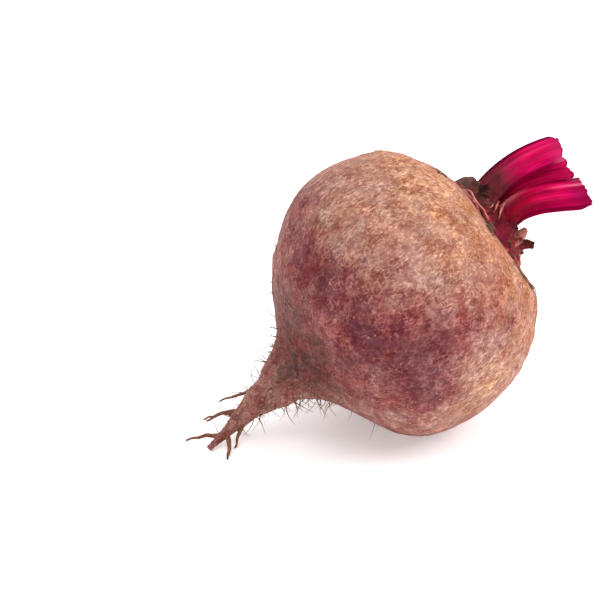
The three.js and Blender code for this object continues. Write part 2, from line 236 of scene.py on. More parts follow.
def closed_faces(rings, sides):
    """Faces between stacked rings, closed by one point below them and one above, which come last."""
    ring, side = np.meshgrid(np.arange(rings - 1), np.arange(sides), indexing="ij")
    a = ring * sides + side
    b = ring * sides + (side + 1) % sides
    walls = np.stack([a, b, b + sides, a + sides], -1).reshape(-1, 4)
    first, after = np.arange(sides), (np.arange(sides) + 1) % sides
    top = (rings - 1) * sides
    foot_pole, top_pole = np.full(sides, rings * sides), np.full(sides, rings * sides + 1)
    foot = np.stack([after, first, foot_pole, foot_pole], -1)
    cap = np.stack([top + first, top + after, top_pole, top_pole], -1)
    return np.vstack([walls, foot, cap])


def ring_stack(rings):
    """Points and faces of a closed piece through rings, with a point in the middle of both end rings."""
    points = np.vstack([*rings, rings[0].mean(0), rings[-1].mean(0)])
    return points, closed_faces(len(rings), len(rings[0]))


def tag(piece, name, values, ends=()):
    """A number for each vertex of a piece, or one for all, which its material can read. The numbers for
    the two closing points at the ends of a stack of rings can be given apart."""
    attribute = piece.data.attributes.new(name, "FLOAT", "POINT")
    values = np.broadcast_to(values, len(piece.data.vertices) - len(ends))
    attribute.data.foreach_set("value", np.append(values, ends).astype(np.float32))


def join(name, pieces):
    """Several objects as one mesh object, with their materials and tags."""
    with bpy.context.temp_override(
        active_object=pieces[0], selected_objects=pieces, selected_editable_objects=pieces
    ):
        bpy.ops.object.join()
    pieces[0].name = name
    pieces[0].data.name = name
    return pieces[0]


# ---------------------------------------------------------------- materials


def feed(tree, socket, value):
    """Links another node's output to a socket, or sets the socket to a plain value."""
    if isinstance(value, bpy.types.NodeSocket):
        tree.links.new(value, socket)
    else:
        socket.default_value = value


def add_node(tree, kind, fed, **settings):
    """A node with its settings made and its sockets fed, which are given by name or by number."""
    made = tree.nodes.new(kind)
    for key, value in settings.items():
        setattr(made, key, value)
    for socket, value in fed.items():
        feed(tree, made.inputs[socket], value)
    return made


def linear(part):
    """A share of full brightness as the screen stores it, as a linear number."""
    return part / 12.92 if part < 0.04045 else ((part + 0.055) / 1.055) ** 2.4


def rgba(red, green, blue):
    """A colour given on the usual 0 to 255 scale, as the renderer's linear numbers."""
    return linear(red / 255), linear(green / 255), linear(blue / 255), 1.0


class Finish:
    """A material whose nodes are added one call at a time."""

    def __init__(self, name, **uniform):
        self.material = bpy.data.materials.new(name)
        self.material.use_nodes = True
        self.tree = self.material.node_tree
        self.shader = self.tree.nodes["Principled BSDF"]
        for socket, value in uniform.items():
            self.drive(socket.replace("_", " "), value)

    def node(self, kind, fed, **settings):
        return add_node(self.tree, kind, fed, **settings)

    def drive(self, socket, value):
        """Feeds a socket of the material's shader."""
        feed(self.tree, self.shader.inputs[socket], value)

    def place(self):
        """Places on the piece in metres."""
        return self.node("ShaderNodeTexCoord", {}).outputs["Object"]

    def uv(self):
        """The piece's own map, which only the stalks have."""
        return self.node("ShaderNodeTexCoord", {}).outputs["UV"]

    def tagged(self, name):
        return self.node("ShaderNodeAttribute", {}, attribute_name=name).outputs["Fac"]

    def stretched(self, vector, scale):
        return self.node("ShaderNodeMapping", {"Vector": vector, "Scale": scale}).outputs["Vector"]

    def along_axis(self, stretch):
        """The plant's own frame, drawn out along its axis."""
        fed = {"Vector": self.place(), "Rotation": (0, TILT, 0), "Scale": (1, 1, stretch)}
        return self.node("ShaderNodeMapping", fed, vector_type="TEXTURE").outputs["Vector"]

    def warped(self, vector, size, amount):
        """Coordinates pushed about by soft noise of `size` metres."""
        wander = self.node("ShaderNodeTexNoise", {"Vector": vector, "Scale": 1 / size, "Detail": 1})
        fed = {0: wander.outputs["Color"], 1: (amount, amount, amount), 2: vector}
        return self.node("ShaderNodeVectorMath", fed, operation="MULTIPLY_ADD").outputs["Vector"]

    def noise(self, vector, size, detail=3.0, roughness=0.55, distortion=0.0):
        """Soft noise with bumps of `size` metres, or of that share of the piece's own map."""
        fed = {"Vector": vector, "Scale": 1 / size, "Detail": detail, "Roughness": roughness}
        return self.node("ShaderNodeTexNoise", {**fed, "Distortion": distortion}).outputs["Fac"]

    def cells(self, vector, size, feature="F1"):
        """Distances within a pattern of cells of `size` metres."""
        fed = {"Vector": vector, "Scale": 1 / size}
        return self.node("ShaderNodeTexVoronoi", fed, feature=feature).outputs["Distance"]

    def math(self, operation, a, b=0.0, c=0.0):
        return self.node("ShaderNodeMath", {0: a, 1: b, 2: c}, operation=operation).outputs["Value"]

    def times(self, a, b):
        return self.math("MULTIPLY", a, b)

    def sum(self, *terms):
        """The sum of (value, share) pairs."""
        total = 0.0
        for value, share in terms:
            total = self.math("MULTIPLY_ADD", value, share, total)
        return total

    def ramp(self, value, *stops):
        """Colours between stops of (position, colour)."""
        made = self.node("ShaderNodeValToRGB", {"Fac": value})
        elements = made.color_ramp.elements
        while len(elements) < len(stops):
            elements.new(0.5)
        for element, (position, colour) in zip(elements, stops):
            element.position = position
            element.color = rgba(*colour)
        return made.outputs["Color"]

    def range(self, value, start, end, low=0.0, high=1.0):
        """A value from `low` at the start to `high` at the end, held beyond both."""
        fed = {"Value": value, "From Min": start, "From Max": end, "To Min": low, "To Max": high}
        return self.node("ShaderNodeMapRange", fed).outputs["Result"]

    def blend(self, share, a, b, how="MIX"):
        """Two colours mixed. Sockets 6 and 7 and output 2 of the node are the ones for colours."""
        fed = {"Factor": share, 6: a, 7: b}
        return self.node("ShaderNodeMix", fed, data_type="RGBA", blend_type=how).outputs[2]

    def finish(self, colour, relief=None, depth=0.0002):
        """The material, with its colour and a shallow relief `depth` metres high."""
        self.drive("Base Color", colour)
        if relief is not None:
            raised = self.node("ShaderNodeBump", {"Height": relief, "Distance": depth, "Strength": 1.0})
            self.drive("Normal", raised.outputs["Normal"])
        return self.material


def root_skin():
    """A fine broken net of tan cork over burgundy skin, closing to a coat where the cork is thick."""
    skin = Finish("root_skin", Roughness=0.68, Specular_IOR_Level=0.2)
    place = skin.warped(skin.along_axis(1.4), 0.0016, 0.0009)
    net = skin.range(skin.cells(place, 0.0012, "DISTANCE_TO_EDGE"), 0.03, 0.24, 1.0, 0.0)
    strokes = skin.noise(skin.along_axis(1.8), 0.0007, 3, 0.68, 0.9)
    grain = skin.noise(skin.place(), 0.0005, 2, 0.6)
    blotch = skin.noise(skin.place(), 0.0036, 4, 0.62, 0.4)
    drift = skin.noise(skin.place(), 0.013, 3, 0.55)
    cork = skin.sum((skin.tagged("cork"), 1.0), (blotch, 0.5), (drift, 0.3), (1.0, -0.4))
    net = skin.times(net, skin.range(cork, 0.25, 0.7, 0.3, 0.0))
    cover = skin.sum((net, 1.0), (strokes, 1.6), (grain, 0.3), (blotch, 0.6), (cork, 0.32), (1.0, -1.5))
    cover = skin.range(cover, -0.12, 0.4)
    faded = skin.range(skin.noise(skin.place(), 0.0045, 2, 0.6), 0.36, 0.62, 0.45, 0.0)
    cover = skin.math("MULTIPLY_ADD", faded, skin.math("SUBTRACT", 0.5, cover), cover)
    under = skin.ramp(
        cork,
        (0.0, (88, 29, 40)), (0.3, (112, 46, 50)), (0.6, (142, 82, 74)), (1.0, (162, 100, 76)),
    )
    over = skin.ramp(
        cork,
        (0.0, (148, 78, 82)), (0.3, (188, 120, 110)), (0.6, (228, 184, 162)),
        (1.0, (244, 200, 164)),
    )
    colour = skin.blend(cover, under, over)
    rust = skin.times(skin.tagged("rust"), skin.range(blotch, 0.5, 0.68))
    colour = skin.blend(skin.times(rust, 0.7), colour, rgba(164, 98, 72))
    thick = skin.range(cork, 0.4, 0.8)
    specks = skin.range(skin.noise(skin.along_axis(1.5), 0.0014, 3, 0.65, 0.3), 0.5, 0.66)
    specks = skin.times(skin.times(specks, thick), 0.72)
    colour = skin.blend(specks, colour, rgba(146, 88, 76))
    cracks = skin.range(skin.noise(skin.along_axis(4.5), 0.00065, 2, 0.5, 0.4), 0.6, 0.7)
    colour = skin.blend(skin.times(cracks, 0.55), colour, rgba(112, 62, 46))
    colour = skin.blend(skin.tagged("warm"), colour, rgba(255, 240, 214), "MULTIPLY")
    # Soil darkens the skin, and so does painted shade below the fold on the front side.
    soil = skin.times(skin.tagged("soil"), skin.range(blotch, 0.3, 0.62))
    colour = skin.blend(soil, colour, rgba(58, 32, 30))
    tone = skin.noise(skin.warped(skin.place(), 0.004, 0.002), 0.0095, 4, 0.78)
    tone = skin.range(tone, 0.0, 1.0, 0.4, 1.6)
    greyed = skin.range(skin.noise(skin.place(), 0.0062, 3, 0.6), 0.35, 0.7, 1.12, 0.9)
    mottle = skin.range(skin.noise(skin.place(), 0.0026, 3, 0.75, 0.3), 0.25, 0.75, 0.74, 1.26)
    flecks = skin.range(skin.noise(skin.place(), 0.0017, 2, 0.5, 0.3), 0.3, 0.7, -0.26, 0.26)
    tone = skin.times(tone, skin.math("MULTIPLY_ADD", flecks, skin.tagged("mottled"), mottle))
    greyed = skin.times(greyed, skin.range(tone, 0.6, 1.4, 1.1, 0.87))
    varied = skin.node("ShaderNodeHueSaturation", {"Saturation": greyed, "Value": tone, "Color": colour})
    relief = skin.sum((cover, 0.6), (blotch, 0.8), (tone, 0.5))
    return skin.finish(varied.outputs["Color"], relief)


def crown_cork():
    """Dry maroon tissue with salmon scar rims, grey-brown dead parts and live purple parts."""
    cork = Finish("crown_cork", Roughness=0.8, Specular_IOR_Level=0.05)
    place = cork.place()
    grain = cork.noise(place, 0.0007, 4, 0.65, 0.6)
    patch = cork.noise(place, 0.0026, 3, 0.6, 0.4)
    tone = cork.sum((cork.tagged("tone"), 1.0), (grain, 0.65), (patch, 0.4), (1.0, -0.52))
    colour = cork.ramp(
        tone,
        (0.0, (38, 14, 12)), (0.25, (86, 28, 30)), (0.5, (140, 48, 46)), (0.72, (200, 126, 116)),
        (1.0, (234, 176, 162)),
    )
    dead = cork.times(cork.tagged("dead"), cork.range(grain, 0.25, 0.55))
    withered = cork.ramp(patch, (0.3, (66, 46, 42)), (0.7, (118, 86, 76)))
    colour = cork.blend(dead, colour, withered)
    live = cork.times(cork.tagged("live"), cork.range(grain, 0.2, 0.5))
    purple = cork.ramp(patch, (0.3, (74, 8, 24)), (0.7, (128, 26, 48)))
    colour = cork.blend(live, colour, purple)
    return cork.finish(colour, cork.sum((grain, 0.8), (patch, 0.8)), 0.0004)


def stalk_flesh():
    """Ribbed magenta flesh with bright strands and blotches, partly its own colour and partly painted
    highlights, brown and dull at the foot.
    """
    flesh = Finish("stalk_flesh", Roughness=0.45)
    strands = flesh.stretched(flesh.uv(), (1.0, 0.06, 1.0))
    thick = flesh.noise(strands, 0.06, 2, 0.5)
    fine = flesh.noise(strands, 0.014, 3, 0.6)
    blotchy_highlight = flesh.noise(flesh.stretched(flesh.uv(), (1.0, 0.3, 1.0)), 0.16, 2, 0.5)
    along = flesh.tagged("along")
    # The flesh's brightness is painted light: highlights along the strands and in blotches, a little
    # brighter towards the cut.
    light = flesh.sum((thick, 0.7), (fine, 0.3), (blotchy_highlight, 0.9), (flesh.tagged("rib"), 0.1), (along, 0.2))
    # A stalk's deep tag darkens the whole stalk as painted shade.
    light = flesh.sum((light, 1.0), (flesh.tagged("deep"), -1.0), (1.0, -0.56))
    colour = flesh.ramp(
        light,
        (0.0, (100, 0, 38)), (0.3, (168, 0, 62)), (0.5, (214, 8, 86)), (0.72, (238, 28, 114)),
        (1.0, (248, 90, 150)),
    )
    mottle = flesh.noise(flesh.place(), 0.0016, 4, 0.6, 0.5)
    foot = flesh.sum((along, 1.0), (mottle, 0.2), (thick, 0.12), (flesh.tagged("fresh"), 1.0))
    dry = flesh.ramp(
        flesh.sum((mottle, 0.8), (fine, 0.7), (1.0, -0.25)),
        (0.0, (44, 20, 24)), (0.5, (98, 36, 44)), (0.8, (132, 42, 54)), (1.0, (156, 72, 78)),
    )
    dry = flesh.blend(flesh.range(foot, 0.36, 0.5), dry, rgba(96, 2, 30))
    # The wine-dark foot is partly the flesh's own colour and partly painted shade where the stalk meets the
    # crown.
    wine_and_shade = flesh.ramp(mottle, (0.3, (56, 2, 14)), (0.7, (120, 12, 40)))
    dry = flesh.blend(flesh.tagged("wine_and_shade"), dry, wine_and_shade)
    colour = flesh.blend(flesh.range(foot, 0.3, 0.64), dry, colour)
    ruddy = flesh.times(flesh.tagged("wine_and_shade"), flesh.range(along, 0.35, 0.65, 1.0, 0.0))
    colour = flesh.blend(ruddy, colour, rgba(255, 255, 205), "MULTIPLY")
    dark = flesh.tagged("dark")
    colour = flesh.blend(dark, colour, rgba(88, 6, 44))
    flesh.drive("Specular IOR Level", flesh.range(dark, 0.0, 0.2, 0.04, 0.0))
    bruised = flesh.range(flesh.tagged("wine_and_shade"), 0.0, 1.0, 1.0, 0.2)
    bruised = flesh.times(flesh.range(along, 0.8, 1.0, 0.0, 0.5), bruised)
    colour = flesh.blend(bruised, colour, rgba(180, 46, 104))
    # Frayed edges near the cut and the sheath are pale, and a painted highlight line runs along the lower
    # front stalk.
    pale_and_highlight = flesh.times(flesh.tagged("pale_and_highlight"), flesh.range(fine, 0.3, 0.6, 0.4, 1.0))
    colour = flesh.blend(pale_and_highlight, colour, rgba(214, 122, 138))
    return flesh.finish(colour, flesh.sum((thick, 1.2), (fine, 0.5)))


def cut_flesh():
    """The wet cut across a stalk, with paler strands."""
    cut = Finish("cut_flesh", Roughness=0.4, Specular_IOR_Level=0.5)
    place = cut.place()
    strands = cut.cells(place, 0.0011)
    shade = cut.sum((strands, 0.9), (cut.noise(place, 0.0018, 3, 0.6), 0.6), (1.0, -0.35))
    colour = cut.ramp(
        shade,
        (0.0, (150, 10, 54)), (0.45, (206, 40, 96)), (1.0, (236, 140, 168)),
    )
    return cut.finish(colour, strands)


def dry_fibre(name, dark, light):
    """Dead, papery or woody strands."""
    fibre = Finish(name, Roughness=0.85, Specular_IOR_Level=0.2)
    grain = fibre.noise(fibre.place(), 0.0011, 3, 0.6)
    return fibre.finish(fibre.ramp(grain, (0.3, dark), (0.7, light)))


# ---------------------------------------------------------------- the swollen root

ROOT_SIDES = 360
SWELL_RINGS = 196
TAPROOT_RINGS = 52
TAPROOT_SAMPLES = 400
SWELL_END = -40.0
JOIN_SAMPLES = 14
SIDE_ROOT_LINES = (radians(-25), radians(155))
SIDE_ROOT_WIDTH = 0.13
FOLD_HEIGHT = -24.9
FOLD_SLANT = 1.6
LOW_SHOULDER_SIDE = radians(-62)
LOW_SHOULDER_HEIGHT = 28.7
LIP_DENT_SIDE = radians(-112)
LIP_DENT = 1.7
LIP_SOIL_SIDE = radians(-116)
WARM_SIDE = radians(-88)

# Places where cork is thick or thin: azimuth in degrees, height, reach and amount. The thin ones low on the
# front side also darken the skin there as painted shade.
CORK_AND_SHADE_PATCHES = [
    (-97, -11, 13, -0.26),
    (-118, -20, 10, -0.28),
    (-142, -21, 9, -0.28),
    (-164, -18, 8, -0.28),
    (-94, 0, 9, -0.16),
    (-69, -8, 9, -0.2),
    (-82, -18, 9, -0.2),
    (-86, 6, 6, -0.12),
    (-160, -3, 11, 0.24),
    (-150, -11, 6, 0.18),
    (-120, -8, 6, 0.08),
    (-78, 19, 8, -0.24),
    (-102, 18, 8, -0.16),
    (-78, 2, 6, 0.14),
    (-62, 1, 6, 0.1),
    (-150, 22, 9, 0.22),
    (-128, 25, 7, 0.2),
    (-117, 13, 8, 0.16),
    (-172, 14, 10, 0.12),
    (-74, 6, 8, 0.16),
    (-60, 2, 9, 0.3),
    (-58, -15, 10, 0.18),
    (-105, -22, 6, -0.1),
    (-52, -5, 11, 0.25),
    (-136, 8, 9, 0.1),
]

# Places where the cork is most mottled: azimuth in degrees, height and reach.
MOTTLED_PLACES = [(-165, 15, 12), (-78, 3, 10)]

# Crumbs of soil on the shoulder: azimuth in degrees, height, width in radians and tallness.
GRITTY_PLACES = [(-118, 29.7, 0.05, 0.8), (-173, 27.2, 0.022, 0.4), (-168, 27.9, 0.03, 0.4)]


def distance_on_swell(points, turn, height):
    """How far points are from the place on the swell at an azimuth in degrees and a height."""
    out = np.interp(height, *np.array(SWELL_OUTLINE)[::-1, ::-1].T)
    return np.linalg.norm(points - [out * cos(radians(turn)), out * sin(radians(turn)), height], axis=1)


def side_line(azimuth):
    """1 along the two opposite lines where side roots grow, 0 elsewhere."""
    nearest = np.minimum(*(np.abs(turn_between(azimuth, line)) for line in SIDE_ROOT_LINES))
    return bump(nearest, 0, SIDE_ROOT_WIDTH)


def fold_height(azimuth):
    """The height of the fold where the swell turns into the taproot."""
    return FOLD_HEIGHT + FOLD_SLANT * np.cos(azimuth - HIGH_SIDE)


def swell_relief(z, azimuth):
    """How far the swell's surface stands out from its outline."""
    from_fan = azimuth - FAN_AZIMUTH
    belly = smooth(z, 33, 14) * smooth(z, -37, -22)
    lobes = 0.6 * np.sin(2 * from_fan) + 0.4 * np.sin(3 * from_fan) + 0.25 * np.sin(5 * from_fan)
    rings = 0.13 * np.sin(z * 1.45 + 0.8 * np.cos(azimuth + 0.4)) * smooth(z, 4, 20)
    fold = 0.75 * bump(z, fold_height(azimuth), 1.7) - 0.7 * bump(z, fold_height(azimuth) - 3.6, 2.0)
    fold *= 0.35 + 0.65 * facing(azimuth, FRONT, 1.3)
    full = np.cos(azimuth - FULL_SIDE) * (2.4 * bump(z, -22, 10) + 1.3 * bump(z, 27, 6))
    top_shoulder = facing(azimuth, pi, 0.5)
    shoulders = 1.7 * low_shoulder(z, azimuth, 2.2) + 1.35 * top_shoulder * bump(z, 21, 4.5)
    root_line = -0.8 * side_line(azimuth) * smooth(z, -4, -20) * smooth(z, -39, -30)
    return belly * lobes + rings + fold + full + shoulders + root_line


def low_shoulder(z, azimuth, height):
    """1 where the shoulder is fullest, beside the lowest part of the lip, falling off over a height."""
    near = facing(azimuth, LOW_SHOULDER_SIDE, 0.45)
    return near * bump(z, LOW_SHOULDER_HEIGHT, height) * smooth(z, 30.4, 29)


def level_at(z, azimuth):
    """Where a ring of the swell's outline lies, once the lip and the shoulder are uneven."""
    return z + smooth(z, 20, LIP_HEIGHT) * lip_dip(azimuth) + 0.9 * low_shoulder(z, azimuth, 1.7)


def lip_dip(azimuth):
    """How far the shoulder's lip stands above or below its usual height."""
    dent = facing(azimuth, LIP_DENT_SIDE, 0.85)
    return 0.3 * np.cos(azimuth - HIGH_SIDE) - LIP_DENT * dent


def crown_outline(azimuth):
    """How far the crown reaches from the axis at its foot: an uneven oval."""
    oval = 1 + 0.03 * np.cos(2 * azimuth + 1.1) + 0.02 * np.cos(3 * azimuth + 0.3)
    return CROWN_RADIUS * oval + 0.8 * np.cos(azimuth - CROWN_FULL_SIDE) + 0.2 * np.cos(7 * azimuth)


def fine_relief(points, z, azimuth):
    """The small unevenness of the skin: dimples, creases beside the fold and wrinkles at the lip."""
    dimples = 0.3 * uneven(points, 11, 1) + 0.12 * uneven(points, 4, 2)
    grain = 0.05 * uneven(points, 1.6, 3)
    wander = uneven(points, 6, 4)
    creases = np.sin(2.6 * z + 2.2 * wander) * bump(z, fold_height(azimuth) + 2, 4.5)
    shoulder = np.sin(3.3 * z + 2.5 * wander) * smooth(z, 20, 29)
    tail = np.sin(3.9 * z + 3.0 * wander) * smooth(z, -33, -39)
    return dimples * smooth(z, -42, -34) + grain + 0.09 * creases + 0.07 * shoulder + 0.11 * tail


def taproot_line(samples):
    """The middle of the taproot, which leaves the swell straight and then bends to the table."""
    course = [in_plant((SWELL_AT * [1, 1, 0] + place) * MM) for place in TAPROOT_COURSE]
    return smooth_line([(0, 0, TAPROOT_START), (0, 0, TAPROOT_BEND), *course], samples)


def root_rings():
    """Rings of lip and swell as radius and height, and those of the taproot as centre, two square
    directions, radius and how far along it they are."""
    lip = [(0.0, CROWN_SEAT)]
    lip += [(out, LIP_HEIGHT - below) for out, below in ((0.0, 1.1), (0.25, 0.45), (0.8, 0.1))]
    outline = smooth_line(SWELL_OUTLINE, 1200)
    swell = smooth_line(outline[outline[:, 1] > SWELL_END], SWELL_RINGS)
    line = taproot_line(TAPROOT_SAMPLES)
    reach = np.linspace(0, 1, TAPROOT_SAMPLES)
    travelled = reach * np.linalg.norm(np.diff(line, axis=0), axis=1).sum()
    taper = mix(TAPROOT_RADIUS, TAPROOT_TIP_RADIUS, smooth(reach, 0.16, 1.0) ** 0.7)
    flare = np.interp(TAPROOT_START - travelled, outline[::-1, 1], outline[::-1, 0], left=0)
    radius = np.maximum(taper, flare)
    average = np.full(2 * JOIN_SAMPLES + 1, 1 / (2 * JOIN_SAMPLES + 1))
    radius = np.convolve(np.pad(radius, JOIN_SAMPLES, "edge"), average, "valid")
    ahead, side, _ = across_line(line)
    other = np.cross(side, ahead)
    picks = np.linspace(np.searchsorted(travelled, 4.6), TAPROOT_SAMPLES - 1, TAPROOT_RINGS).astype(int)
    return lip, swell, line[picks], side[picks], other[picks], radius[picks], reach[picks]


def root_body():
    """The skin of swell and taproot in one piece, from the seat of the crown to the tip."""
    azimuth = even_turns(ROOT_SIDES)
    lip, swell, line, side, other, tail_radius, reach = root_rings()
    points, heights = [], []
    for out, z in lip:
        radius = crown_outline(azimuth) + out
        dip = lip_dip(azimuth) if z > CROWN_SEAT else 0 * azimuth
        points.append(round_axis(radius, azimuth, z + dip))
        heights.append(np.full(ROOT_SIDES, z))
    for out, z in swell:
        heights.append(np.full(ROOT_SIDES, z))
        plain = round_axis(out, azimuth, z)
        radius = out + swell_relief(z, azimuth) + fine_relief(plain, z, azimuth) * smooth(z, 31, 29.5)
        points.append(round_axis(radius, azimuth, level_at(z, azimuth)))
    for centre, e1, e2, out, along in zip(line, side, other, tail_radius, reach):
        z = SWELL_END - 37 * (along - 0.12)
        heights.append(np.full(ROOT_SIDES, z))
        outward = np.cos(azimuth)[:, None] * e1 + np.sin(azimuth)[:, None] * e2
        lumps = 0.05 * np.cos(2 * azimuth + 9 * along) + 0.04 * sin(31 * along)
        radius = out * (1 + smooth(along, 0.1, 0.3) * lumps)
        relief = fine_relief(centre + out * outward, np.full(ROOT_SIDES, z), azimuth)
        radius += relief * min(1, out / 4)
        points.append(centre + radius[:, None] * outward)
    rings = len(points)
    points, heights = np.vstack(points), np.concatenate(heights)
    points[:, :] = in_plant(np.maximum(at_rest(points), [-1, -1, 0]))
    points = np.vstack([points, [0, 0, CROWN_SEAT], points[-ROOT_SIDES:].mean(0)])
    heights = np.concatenate([heights, [CROWN_SEAT, heights[-1]]])
    root = mesh_object("swollen_root_skin", points, closed_faces(rings, ROOT_SIDES), root_skin())
    tag_root(root, points, heights)
    return root


def tag_root(root, points, z):
    """How corky, how soiled and how ready to sprout hairs the skin is at each vertex. The dark below the
    fold and the thin cork low on the front side are partly painted shade, and the cork along the fold's
    crest is partly a painted highlight.
    """
    azimuth = np.arctan2(points[:, 1], points[:, 0])
    cork = 0.36 + 0.34 * smooth(z, -20, 20) + 0.14 * uneven(points, 17, 7)
    for turn, height, reach, amount in CORK_AND_SHADE_PATCHES:
        cork += amount * bump(distance_on_swell(points, turn, height), 0, reach)
    # Along the fold's crest, most on the front side, the cork is thicker: partly real cork, partly a
    # painted highlight where the crest catches the light.
    crest_cork_and_highlight = bump(z, fold_height(azimuth) + 1.4, 1.0) * (0.3 + 0.7 * facing(azimuth, FRONT, 0.3))
    cork += 0.24 * crest_cork_and_highlight * smooth(uneven(points, 7, 8), -0.6, 0.3)
    cork += 0.15 * smooth(z, -36, -44)
    mottled = np.full(len(points), 0.6)
    for turn, height, reach in MOTTLED_PLACES:
        mottled += 0.8 * bump(distance_on_swell(points, turn, height), 0, reach)
    # Below the fold, most on the front side, the skin is darkened partly as soil and partly as painted
    # shade.
    below_fold = fold_height(azimuth) - z + 3.0 * uneven(points, 6, 10) + 1.5 * uneven(points, 2, 16)
    soil = smooth(below_fold, 0.5, 7.5) * (0.35 + 0.65 * facing(azimuth, FRONT, 0.9))
    soil = 0.9 * soil * (1 - 0.6 * smooth(z, -38, -46)) + 0.7 * smooth(z, 29.6, 30.6)
    soil += 1.2 * facing(azimuth, LIP_SOIL_SIDE, 0.09) * bump(z, 29.6, 1.3)
    tag(root, "cork", cork)
    tag(root, "soil", np.clip(soil, 0, 1))
    above = smooth(at_rest(points)[:, 2], 0.002, 0.006)
    tag(root, "sprout", above * (smooth(z, -31, -38) + 0.15 * side_line(azimuth) * smooth(z, -6, -20)))
    tag(root, "mottled", mottled)
    tag(root, "warm", smooth(z, 8, 20) * (0.4 + 0.6 * facing(azimuth, WARM_SIDE, 0.6)))
    gritty = sum(
        facing(azimuth, radians(turn), width) * bump(z, height, tall)
        for turn, height, width, tall in GRITTY_PLACES
    )
    tag(root, "gritty", gritty)
    tag(root, "flecked", (0.25 + smooth(z, 0, 26)) * smooth(z, -30, -26))
    tag(root, "rust", smooth(z, 10, 24) * smooth(uneven(points, 13, 9), -0.5, 0.5))


# ---------------------------------------------------------------- side roots


def tapered_tube(line, radii, sides):
    """Points and faces of a closed tapering tube along a line."""
    _, side, other = across_line(line)
    turn = even_turns(sides)
    circle = np.cos(turn)[None, :, None] * side[:, None] + np.sin(turn)[None, :, None] * other[:, None]
    points = (line[:, None] + circle * np.asarray(radii)[:, None, None]).reshape(-1, 3)
    return np.vstack([points, line[0], line[-1]]), closed_faces(len(line), sides)


def pour(name, parts, material):
    """Several point and face lists as one piece."""
    points, faces, start = [], [], 0
    for part_points, part_faces in parts:
        points.append(part_points)
        faces.append(part_faces + start)
        start += len(part_points)
    return mesh_object(name, np.vstack(points), np.vstack(faces), material)


def random_stream(seed):
    """Endless numbers from 0 to 1, the same each time for a seed."""
    state = seed
    while True:
        state = (state * 1664525 + 1013904223) % 4294967296
        yield state / 4294967296


SIDE_ROOTS = 8
TABLE_GAP = 0.00002


def side_roots():
    """Thin side roots along the two side lines, each starting inside the taproot."""
    draw = random_stream(31)
    line = taproot_line(TAPROOT_SAMPLES)
    ahead, _, _ = across_line(line)
    parts = []
    for i in range(SIDE_ROOTS):
        along = mix(0.18, 0.9, (i + next(draw)) / SIDE_ROOTS)
        step = int(along * (TAPROOT_SAMPLES - 1))
        start, tangent = line[step], ahead[step]
        azimuth = SIDE_ROOT_LINES[i % 2] + 2.0 * (next(draw) - 0.5)
        length = mix(10, 5, along) * (0.4 + next(draw))
        reach = mix(6.5, 1.2, along) + length
        out = np.array([cos(azimuth), sin(azimuth), -1.3 * next(draw)])
        end = start + out / np.linalg.norm(out) * reach + tangent * 1.1 * length * next(draw)
        middle = mix(start, end, 0.55) - tangent * 0.35 * length * next(draw)
        thick = 0.7 + 0.35 * next(draw)
        root = smooth_line([start, middle, end], 40)
        shake = np.column_stack([uneven(root, 3.0, 20 + i + k) for k in range(3)])
        root += 0.8 * shake * np.linspace(0, 1, 40)[:, None]
        radii = thick * np.linspace(1, 0.3, 40) * (1 + 0.12 * uneven(root, 1.3, 50))
        parts.append(tapered_tube(root, radii, 14))
    piece = pour("side_roots", parts, dry_fibre("side_root_skin", (86, 48, 42), (158, 104, 80)))
    settle(piece)
    return piece


def settle(piece):
    """Nothing small goes below the table."""
    for vertex in piece.data.vertices:
        vertex.co.z = max(vertex.co.z, TABLE_GAP)


# ---------------------------------------------------------------- the crown

CROWN_SIDES = 280
CROWN_RINGS = 90
CROWN_LEAN = 2.6
SCARS = 26
RIM_SIDE = radians(-155)
RIM_WIDTH = 0.6
LIVE_SIDE = radians(-102)
CROWN_SOIL_SIDE = radians(-117)
BARE_SIDE = radians(-150)
DEAD_SIDE = radians(165)
CROWN_CREVICE_SIDE = radians(-164)


def rim_relief(share, azimuth):
    """Two thin scar rims that run beside the lip, with a groove between them."""
    near = facing(azimuth, RIM_SIDE, RIM_WIDTH)
    rims = 0.6 * bump(share, 0.975, 0.02) + 0.9 * bump(share, 0.89, 0.032)
    return near * (rims - 0.5 * bump(share, 0.93, 0.022))


def scar_relief(radius, azimuth):
    """Rims of old leaf scars: crescents set round the crown by the golden angle."""
    relief = 0
    for scar in range(SCARS):
        scar_radius = 6.5 + 2.25 * sqrt(scar)
        outward = radius - scar_radius
        around = turn_between(azimuth, scar * pi * (3 - sqrt(5))) * scar_radius
        reach = np.hypot(outward, around * 0.55)
        relief = relief + 0.75 * bump(reach, 2.2, 0.75) * smooth(outward, -1.2, 1.2)
    return np.tanh(relief)


def crown_radius(azimuth, share):
    """How far the crown's surface lies from the axis, leaning over towards its top."""
    return (crown_outline(azimuth) - GAP) * share - CROWN_LEAN * (1 - share) * np.cos(azimuth - FAN_AZIMUTH)


